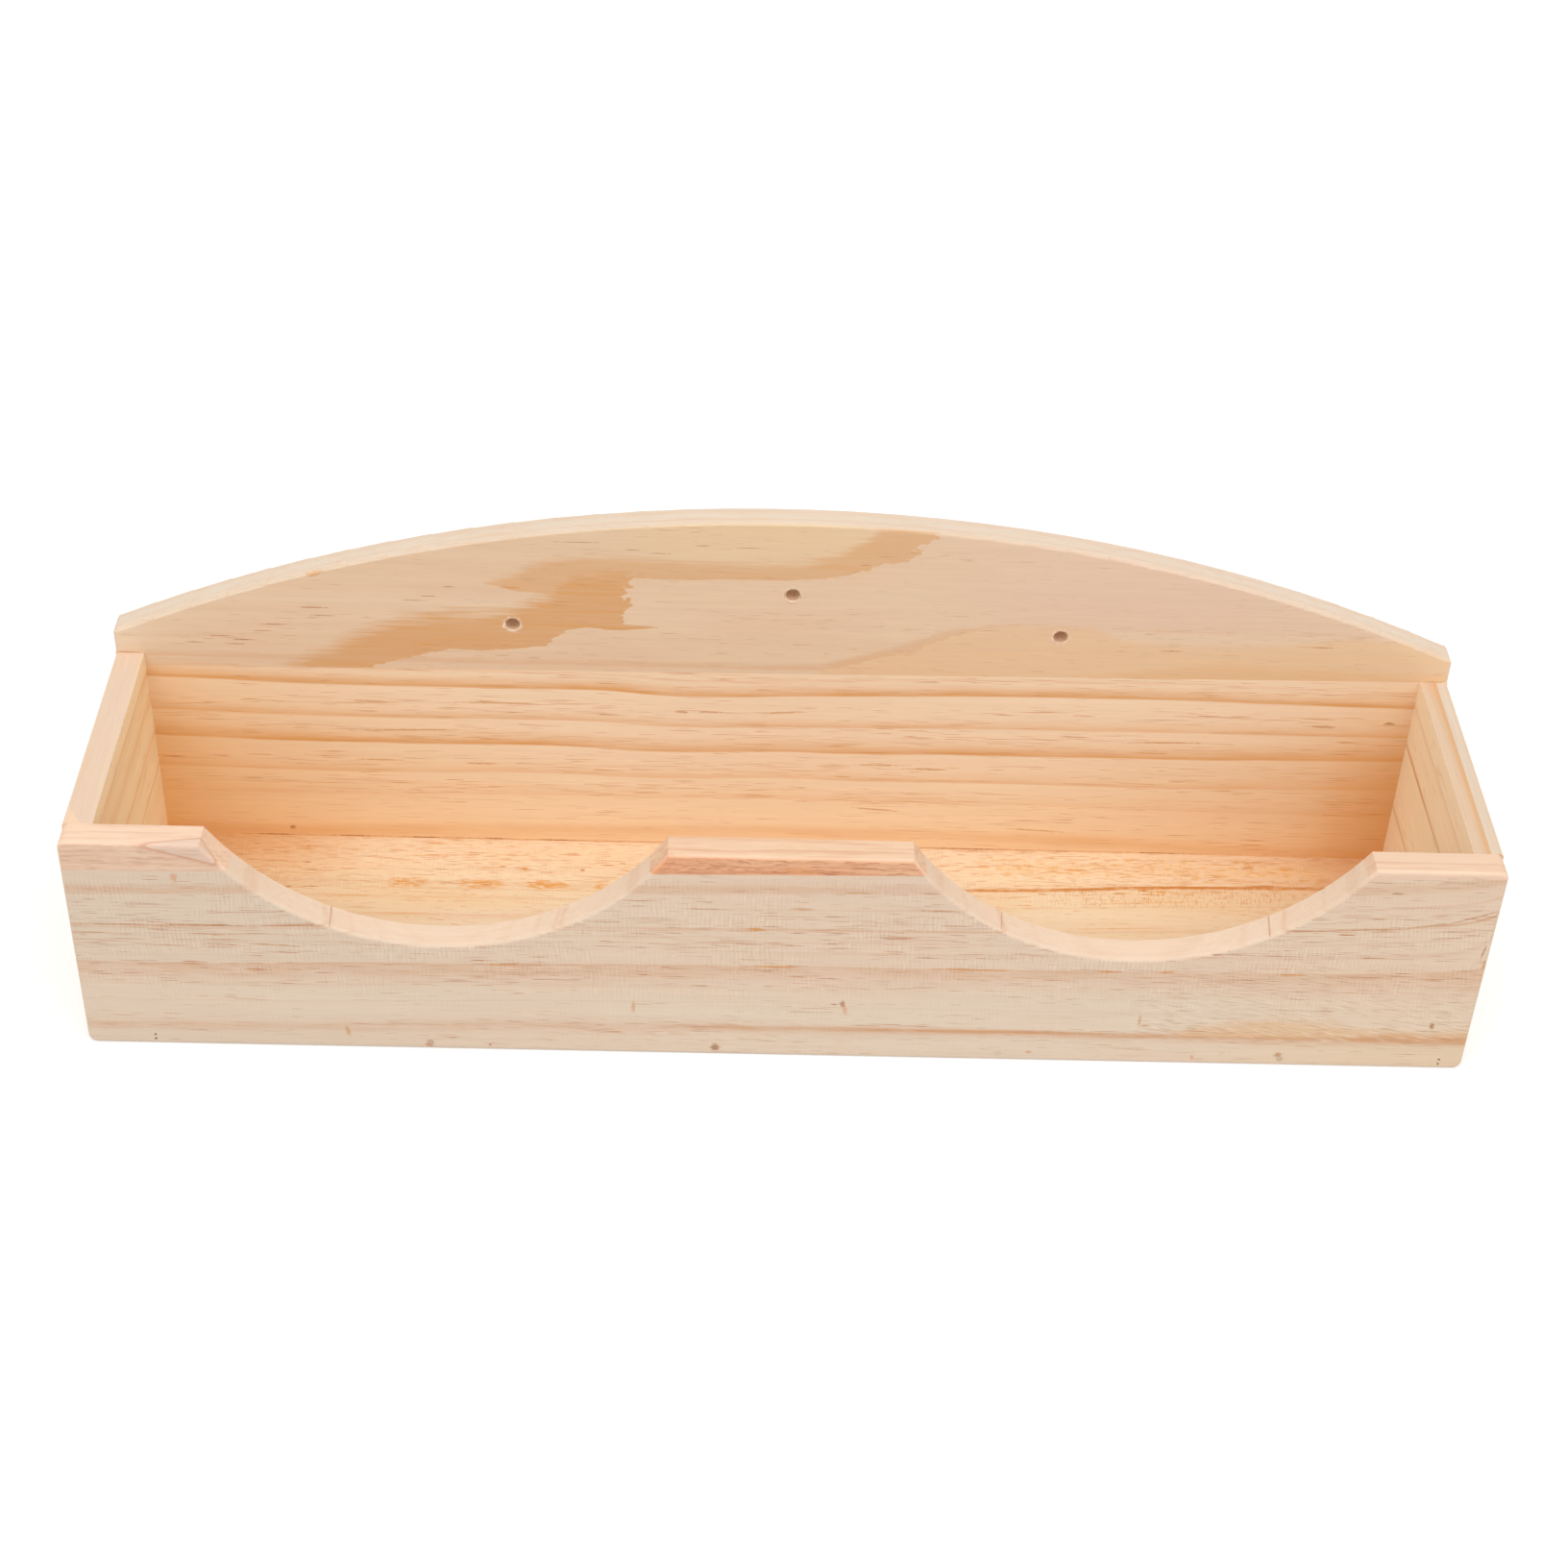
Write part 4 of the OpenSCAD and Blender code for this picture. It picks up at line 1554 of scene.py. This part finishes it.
FLOOR = PineFinish(
    name="sawn_pine_light_floor",
    grain=Grain.FLAT_WIDE,
    early="#E4D0B0",
    late="#C8853F",
    rim="#F4CFA5",
    top="#F0CDA6",
    face=5.5,
    tilt=0.3,
    wave=0.4,
    gaps=(3.4, 0.9),
    gap_depth=0.45,
    tint="#E4C598",
    tint_strength=0.5,
    rings=(
        (-45, 0.1), (-10, 0.05), (2, 0.04), (4.2, 0.26), (5, 0.05), (10.4, 0.05),
        (12.4, 0.28), (12.9, 0.05), (15.6, 0.08), (16.2, 0.34), (16.9, 0.08), (18.2, 0.25),
        (19.2, 0.3), (20.2, 0.1), (23.8, 0.14), (24.4, 0.24), (28, 0.18), (32, 0.22),
        (38, 0.2), (41, 0.3),
    ),
    far_rings=(
        (-45, 0.1), (-10, 0.04), (0, 0.03), (1.4, 0.22), (2.2, 0.03), (11.4, 0.05),
        (12.0, 0.28), (12.6, 0.05), (19.6, 0.12), (20.1, 1.0), (20.9, 0.9), (21.5, 0.2),
        (26, 0.12), (32, 0.2), (36, 0.14), (41, 0.3),
    ),
    fade=(48.0, 62.0),
    drift=(
        Course(2.0, ((-200, 0), (-100, 0.2), (60, 0.0), (90, 1.0), (130, 2.4), (200, 4.4))),
        Course(
            24.0,
            (
                (-200, 0), (-100, 0.4), (60, 0.2), (90, 1.4), (110, 2.8), (150, 4.0),
                (200, 5.2),
            ),
        ),
    ),
    canals=Canals(
        colour="#C67E36", share=0.46, length=5.0, width=0.28, strength=0.6,
        rows=((-10, 0.1), (8, 0.2), (12, 0.4), (17, 0.6), (22, 1.0), (40, 1.0)),
    ),
    saw=0.6,
    saw_band=((-41, 0.2), (6, 0.3), (14, 0.7), (24, 1.0), (41, 1.0)),
    tones_and_shade=(
        # Paler at the back, greyer at the front, and towards both ends an orange that is painted
        # shade of the corners.
        ToneAndShade("#F7E4C8", ALL_ALONG, ((-41, 0), (16, 0), (26, 0.4), (41, 0.5))),
        ToneAndShade("#DCC8AE", ALL_ALONG, ((-41, 0.6), (2, 0.5), (10, 0.15), (20, 0), (41, 0))),
        # Painted shade of the left corners, on the top face only.
        ToneAndShade(
            "#D08A2E", ((-195, 0.8), (-165, 0.6), (-140, 0.3), (-115, 0), (195, 0)),
            ((-41, 0.1), (20, 0.3), (30, 0.75), (41, 1)), True,
        ),
        # Painted shade of the right corners, on the top face only.
        ToneAndShade(
            "#CE8846", ((-195, 0), (90, 0), (120, 0.12), (150, 0.3), (175, 0.6), (195, 0.8)),
            ((-41, 0.2), (10, 0.4), (30, 0.8), (41, 1)), True,
        ),
    ),
    figures=(
        # A tan patch behind the resin line.
        Figure("#E6BA7E", 0.25, 1.5, (
            Band(
                ((60, 40), (72, 27.5), (172, 29.0), (180, 40)),
                ((60, 20), (72, 36), (90, 37.5), (120, 36), (150, 37.5), (172, 37), (180, 25)),
                1.6, 5.0,
            ),
        )),
    ),
    feathers=(
        # Resin speckle in clusters on one ring, tan blotches and small checks.
        Feather(
            (
                (-121, 0), (-117, 1), (-111, 1), (-107, 0), (-100, 0), (-97, 1), (-88, 1),
                (-83, 0), (-79, 0), (-76, 1), (-67, 1), (-63, 0), (-58, 0), (-56, 0.8),
                (-52, 0.8), (-49, 0),
            ),
            ((16.4, 0), (18.2, 1), (19.8, 1), (21.4, 0)), 0.0, "#D89238", 0.75, (3.0, 0.6), 0.42,
        ),
        Feather(
            ((60, 0), (70, 1), (165, 1), (178, 0)), ((26, 0), (29, 1), (36, 1), (38, 0)),
            0.0, "#DAA45A", 0.5, (3.5, 1.4), 0.52,
        ),
        Feather(
            ((80, 0), (92, 1), (150, 1), (165, 0.6), (180, 0)),
            ((14, 0), (18, 1), (22, 1), (24.5, 0)), 1.45, "#C98C48", 0.6, (2.4, 0.35), 0.54,
        ),
    ),
    marks=(
        Marks("#D99A4E", 0.75, (
            (-93, 19.3, 3.5, 0.6), (-71, 19.0, 3.2, 0.6), (-113.5, 18.4, 2.6, 0.6),
            (-108, 38.0, 5.0, 0.5), (93, 31.5, 4.0, 0.7), (160, 34.0, 3.5, 0.8),
            (119, 21.8, 2.2, 0.5), (-79, 26.6, 0.9, 0.8),
        )),
        Marks("#BE8048", 0.8, (
            (-90, 18.6, 2.5, 0.3), (-146.5, 27.6, 1.6, 0.5), (-145, 23.8, 2.8, 0.3),
            (-160, 23.2, 3.0, 0.25), (-61, 26.4, 0.9, 0.9), (-151, 15.6, 2.6, 0.4),
            (-144, 16.0, 3.4, 0.3), (-105, 25.4, 3.0, 0.3), (-53, 29.0, 3.0, 0.3),
            (82, 19.6, 1.6, 0.3), (114, 22.4, 1.2, 0.7), (148, 34.4, 2.4, 0.6),
        )),
        Marks("#D9A066", 0.6, (
            (-132, 12.2, 9.0, 0.35, 0.06), (-108, 14.4, 14.0, 0.3, -0.05),
            (-112, 10.4, 5.0, 0.3), (-115, 4.4, 12.0, 0.45, 0.02), (-108, 32.0, 8.0, 0.4, 0.05),
            (-120, 30.0, 9.0, 0.35, -0.1), (112, 16.4, 22.0, 0.35, 0.07),
            (105, 4.2, 20.0, 0.4, 0.05),
        )),
        Marks("#BE7830", 0.82, (
            (129, 24.3, 24.0, 0.6, 0.025), (96, 22.3, 12.0, 0.45, 0.02),
            (151, 25.4, 7.0, 0.8, 0.06),
        )),
    ),
)


@dataclass
class Board:
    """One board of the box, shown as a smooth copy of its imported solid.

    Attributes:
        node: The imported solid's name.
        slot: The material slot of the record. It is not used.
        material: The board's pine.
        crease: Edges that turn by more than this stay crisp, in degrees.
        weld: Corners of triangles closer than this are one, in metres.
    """

    node: str
    slot: str
    material: bpy.types.Material
    crease: float = 32.0
    weld: float = 1e-3 * MM

    def build(self) -> bpy.types.Object:
        """Copies the solid, joins its loose triangles and smooths its round rims.

        Returns:
            The board's object, riding on the box in place of the solid.
        """
        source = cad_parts[self.node]
        mesh = source.data.copy()
        mesh.name = self.node + "_wood"
        work = bmesh.new()
        work.from_mesh(mesh)
        bmesh.ops.remove_doubles(work, verts=work.verts, dist=self.weld)
        limit = math.radians(self.crease)
        for face in work.faces:
            face.smooth = True
        for edge in work.edges:
            edge.smooth = len(edge.link_faces) == 2 and edge.calc_face_angle(0.0) < limit
        work.to_mesh(mesh)
        work.free()
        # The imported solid's own normals would hide the smooth ones.
        for layer in list(mesh.attributes):
            if layer.name in ("custom_normal", "sharp_face"):
                mesh.attributes.remove(layer)
        board = placed(mesh)
        even = board.modifiers.new("even_normals", "WEIGHTED_NORMAL")
        even.keep_sharp = True
        even.weight = 100
        mesh.materials.clear()
        mesh.materials.append(self.material)
        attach(board, "root")
        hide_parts(self.node)
        LOG.info("%s: %d faces", board.name, len(mesh.polygons))
        return board


@dataclass(frozen=True)
class Chip:
    """A tuft of fibres torn up at a hole's edge: its angle, reach and width in degrees."""

    angle: float
    reach: float
    width: float


# A torn rim's profile, from inside the hole over its mouth to inside the board: how far out
# of the hole's wall, in mm and as a share of the rim's width, and how far proud of the face,
# in mm and as a share of the rim's height.
RIM_PROFILE = (
    (-0.08, 0.0, -0.5, 0.0),
    (-0.14, 0.0, -0.15, 0.0),
    (-0.08, 0.0, 0.0, 0.35),
    (0.0, 0.2, 0.0, 1.0),
    (0.0, 0.6, 0.0, 0.6),
    (0.0, 1.0, 0.0, 0.0),
    (0.0, 0.8, -0.3, 0.0),
    (0.02, 0.0, -0.5, 0.0),
)


@dataclass
class TornRim:
    """The ragged fibres that a drill leaves round the mouth of a hole, in mm.

    Attributes:
        name: The piece's name.
        bore: The hole.
        face: Place of the board's face.
        chips: The tufts that stand out from the rim.
        seed: Seed of the raggedness.
        least: The rim's width between the tufts.
        turns: How many profiles the rim has.
    """

    name: str
    bore: Bore
    face: float
    chips: tuple[Chip, ...]
    seed: int
    least: float = 0.06
    turns: int = 96

    def build(self, finish_material: bpy.types.Material) -> bpy.types.Object:
        """Sweeps the rim's profile round the hole.

        At the angle a the rim is w(a) = 0.06 + sum of reach * exp(-((a - angle) / width)^2)
        wide and stands h(a) = 0.45 * sqrt(w) - 0.14 proud, so that it only peeks out at
        the tufts. Both get a ragged factor from 0.75 to 1.25.

        Args:
            finish_material: The torn fibres' material.

        Returns:
            The rim's object, riding on the box.
        """
        rng = np.random.default_rng(self.seed)
        angle = np.linspace(0, 360, self.turns, endpoint=False)
        ragged = 1 + 0.25 * (2 * rng.random((2, self.turns)) - 1)
        wide = np.full(self.turns, self.least)
        for chip in self.chips:
            away = (angle - chip.angle + 180) % 360 - 180
            wide += chip.reach * np.exp(-((away / chip.width) ** 2))
        wide, high = wide * ragged[0], 0.45 * np.sqrt(wide) * ragged[1] - 0.14
        out, out_share, proud, proud_share = np.array(RIM_PROFILE).T
        out = self.bore.radius + (out + wide[:, None] * out_share)
        proud = proud + high[:, None] * proud_share
        turn = np.radians(angle)[:, None]
        x, z = self.bore.along + out * np.cos(turn), self.bore.across + out * np.sin(turn)
        points = np.stack([x, self.face - proud, z], -1)
        here = np.arange(points[..., 0].size).reshape(out.shape)
        after = np.roll(here, -1, axis=0)
        quads = np.stack([here, np.roll(here, -1, 1), np.roll(after, -1, 1), after], -1)
        mesh = bpy.data.meshes.new(self.name)
        mesh.from_pydata(points.reshape(-1, 3) * MM, [], quads.reshape(-1, 4).tolist())
        work = bmesh.new()
        work.from_mesh(mesh)
        bmesh.ops.recalc_face_normals(work, faces=work.faces)
        work.to_mesh(mesh)
        work.free()
        mesh.materials.append(finish_material)
        rim = placed(mesh)
        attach(rim, "root")
        LOG.info("%s: %d faces", rim.name, len(mesh.polygons))
        return rim


@dataclass
class FrontPanel:
    """The scooped front: one wide stave and what the scoops left of a narrow one."""

    stave: str = "front_lower_stave"
    tabs: tuple[tuple[str, PineFinish], ...] = (
        ("front_left_tab", LEFT_TAB),
        ("front_centre_tab", CENTRE_TAB),
        ("front_right_tab", RIGHT_TAB),
    )

    def build(self) -> None:
        """Builds and dresses the stave and the tabs."""
        Board(self.stave, "pine_front", FRONT_STAVE.material()).build()
        for tab, wood in self.tabs:
            Board(tab, "pine_strip", wood.material()).build()


@dataclass
class BackPanel:
    """The arched back: a plain lower stave and a figured, drilled upper one."""

    lower: str = "back_lower_stave"
    upper: str = "back_upper_stave"
    # Each hole's rim: its name, its seed and the tufts that stand out from it.
    rims: tuple[tuple[str, int, tuple[Chip, ...]], ...] = (
        (
            "left_hole_torn_fibres", 3,
            (Chip(200, 1.0, 24), Chip(335, 0.8, 20), Chip(262, 0.5, 30)),
        ),
        ("centre_hole_torn_fibres", 5, (Chip(265, 0.8, 40), Chip(120, 0.2, 20))),
        (
            "right_hole_torn_fibres", 8,
            (Chip(215, 0.6, 26), Chip(320, 0.45, 24), Chip(150, 0.3, 16)),
        ),
    )

    def build(self) -> None:
        """Builds and dresses the two staves and the torn rims of the holes."""
        Board(self.lower, "pine_back_lower", BACK_LOWER.material()).build()
        Board(self.upper, "pine_back_upper", BACK_UPPER.material()).build()
        fibres = TornFinish().material()
        for bore, (name, seed, chips) in zip(BACK_UPPER.bores, self.rims):
            TornRim(name, bore, BACK_UPPER.face, chips, seed).build(fibres)


@dataclass
class Trough:
    """The two side boards and the floor between the front and the back."""

    boards: tuple[tuple[str, str, PineFinish], ...] = (
        ("left_side_board", "pine_side", SIDE_LEFT),
        ("right_side_board", "pine_side", SIDE_RIGHT),
        ("floor_board", "pine_floor", FLOOR),
    )

    def build(self) -> None:
        """Builds and dresses the side boards and the floor."""
        for node, slot, wood in self.boards:
            Board(node, slot, wood.material()).build()


@dataclass
class Fasteners:
    """Sunk steel pins and the filler wiped over those in the front."""

    pins: tuple[str, ...] = (
        "front_floor_pins", "back_floor_pins", "back_left_corner_pins",
        "back_right_corner_pins", "left_floor_pins", "right_floor_pins",
    )
    dark_pins: str = "front_end_pins"
    fillers: str = "front_pin_fillers"

    def dress(self) -> None:
        """Gives the pins their steel and the fillers their paste."""
        steel = WireFinish().material()
        for name in self.pins:
            self._coat(name, steel)
        # The end pins sit sunk in open holes. Their near-black brown steel is the holes' painted
        # shade.
        pinhole_shade = WireFinish("pinhole_shaded_steel_wire", "#5B4336", "#32241C", 0.1)
        self._coat(self.dark_pins, pinhole_shade.material())
        self._coat(self.fillers, FillerFinish().material())

    def _coat(self, name: str, material: bpy.types.Material) -> None:
        """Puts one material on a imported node.

        Args:
            name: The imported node's name.
            material: The material.
        """
        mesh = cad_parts[name].data
        mesh.materials.clear()
        mesh.materials.append(material)
        LOG.info("%s: %s", name, material.name)


@dataclass(frozen=True)
class Lamp:
    """A wide, even light from far away.

    Attributes:
        name: The lamp's name.
        height: Its angle above the floor, in degrees.
        turn: Its angle from straight in front, counted to the left, in degrees.
        spread: Its apparent width, in degrees.
        strength: Its strength; pi lights a white surface square to it to white.
    """

    name: str
    height: float
    turn: float
    spread: float
    strength: float

    def build(self) -> None:
        """Hangs the lamp."""
        data = bpy.data.lights.new(self.name, "SUN")
        data.energy = self.strength
        data.angle = math.radians(self.spread)
        tip = math.radians(90 - self.height)
        placed(data).rotation_euler = (tip, 0.0, math.radians(-self.turn))


@dataclass
class Studio:
    """A white floor, soft light all round and the photographer's camera.

    Attributes:
        eye: The camera's place, in metres.
        turn: Its rotation, in degrees.
        lens: Focal length, in mm.
        sensor: Width of the sensor, in mm.
        floor_half: Half the width of the floor, in metres.
        floor_tuck: How far it reaches in under the box, in metres.
        paper: How much light the floor gives back, from 0 to 1.
        glow: How much the camera sees it lifted towards white.
        sky: Strength of the even light from all sides.
        lamps: The softboxes.
    """

    eye: Triple = (-0.020187, -0.623566, 0.556890)
    turn: Triple = (51.5785, -1.8872, -0.3271)
    lens: float = 62.72
    sensor: float = 36.0
    floor_half: float = 4.0
    floor_tuck: float = 1.5 * MM
    paper: float = 0.7
    glow: float = 0.32
    sky: float = 0.58
    lamps: tuple[Lamp, ...] = (
        Lamp("overhead_softbox", 62.0, 0.0, 55.0, 1.05),
        Lamp("left_softbox", 48.0, 60.0, 60.0, 0.62),
        Lamp("right_softbox", 48.0, -60.0, 60.0, 0.62),
    )

    def build(self) -> None:
        """Builds the floor, the world, the lamps and the camera."""
        self._camera()
        self._floor()
        self._world()
        for lamp in self.lamps:
            lamp.build()
        bpy.context.scene.view_settings.view_transform = "Standard"

    def _camera(self) -> None:
        """Sets the camera at the photograph's place and angle."""
        data = bpy.data.cameras.new("photo_camera")
        data.sensor_width = self.sensor
        data.lens = self.lens
        data.clip_start, data.clip_end = 0.01, 50.0
        camera = placed(data)
        camera.location = self.eye
        camera.rotation_euler = tuple(math.radians(a) for a in self.turn)
        bpy.context.scene.camera = camera

    def _seen(self, nodes: Nodes) -> Socket:
        """Tells what the camera sees, also by gloss or glass, from what only gives light.

        Args:
            nodes: The nodes that need to know.

        Returns:
            1 for what is seen, else 0.
        """
        path = nodes.add(RAYS).node.outputs
        sharp = nodes.add(GREATER, path["Is Camera Ray"], path["Is Glossy Ray"])
        return nodes.add(GREATER, sharp, path["Is Transmission Ray"])

    def _floor(self) -> None:
        """Lays a plain white floor that keeps the box's shadow.

        It is open under the box, which covers the opening, so that light from below
        reaches the underside.
        """
        half = np.full(2, self.floor_half)
        low, high = np.array(FRAME_BOX)[:, :2]
        corners = []
        for (left, front), (right, back) in (
            (-half, half), (low + self.floor_tuck, high - self.floor_tuck)
        ):
            corners += [(left, front, 0), (right, front, 0), (right, back, 0), (left, back, 0)]
        sides = [(i, (i + 1) % 4, 4 + (i + 1) % 4, 4 + i) for i in range(4)]
        mesh = bpy.data.meshes.new("studio_floor")
        mesh.from_pydata(corners, [], sides)
        floor = placed(mesh)
        made = bpy.data.materials.new("white_paper_sweep")
        made.use_nodes = True
        nodes = Nodes(made.node_tree)
        paper = nodes.add(MATT, (self.paper, self.paper, self.paper, 1.0))
        glow = nodes.add(TIMES, self._seen(nodes), self.glow)
        both = nodes.add(SUM, paper, nodes.add(GLOW, WHITE, glow))
        # From below the paper is clear, so that the underside can be looked at.
        below = nodes.add(BACK_FACING)
        nodes.end(nodes.add(MIXTURE, below, both, nodes.add(CLEAR)))
        mesh.materials.append(made)

    def _world(self) -> None:
        """Surrounds the scene with even white light and a white background."""
        world = bpy.data.worlds.new("white_room")
        world.use_nodes = True
        nodes = Nodes(world.node_tree)
        level = nodes.add(RANGED, self._seen(nodes), 0.0, 1.0, self.sky, 1.0)
        nodes.end(nodes.add(BACKGROUND, WHITE, level), "OutputWorld")
        bpy.context.scene.world = world


def main() -> None:
    """Builds the studio and the box's sub-assemblies in order."""
    logging.basicConfig(level=logging.INFO, format="%(message)s")
    Studio().build()
    FrontPanel().build()
    BackPanel().build()
    Trough().build()
    Fasteners().dress()


if __name__ == "__main__":
    main()
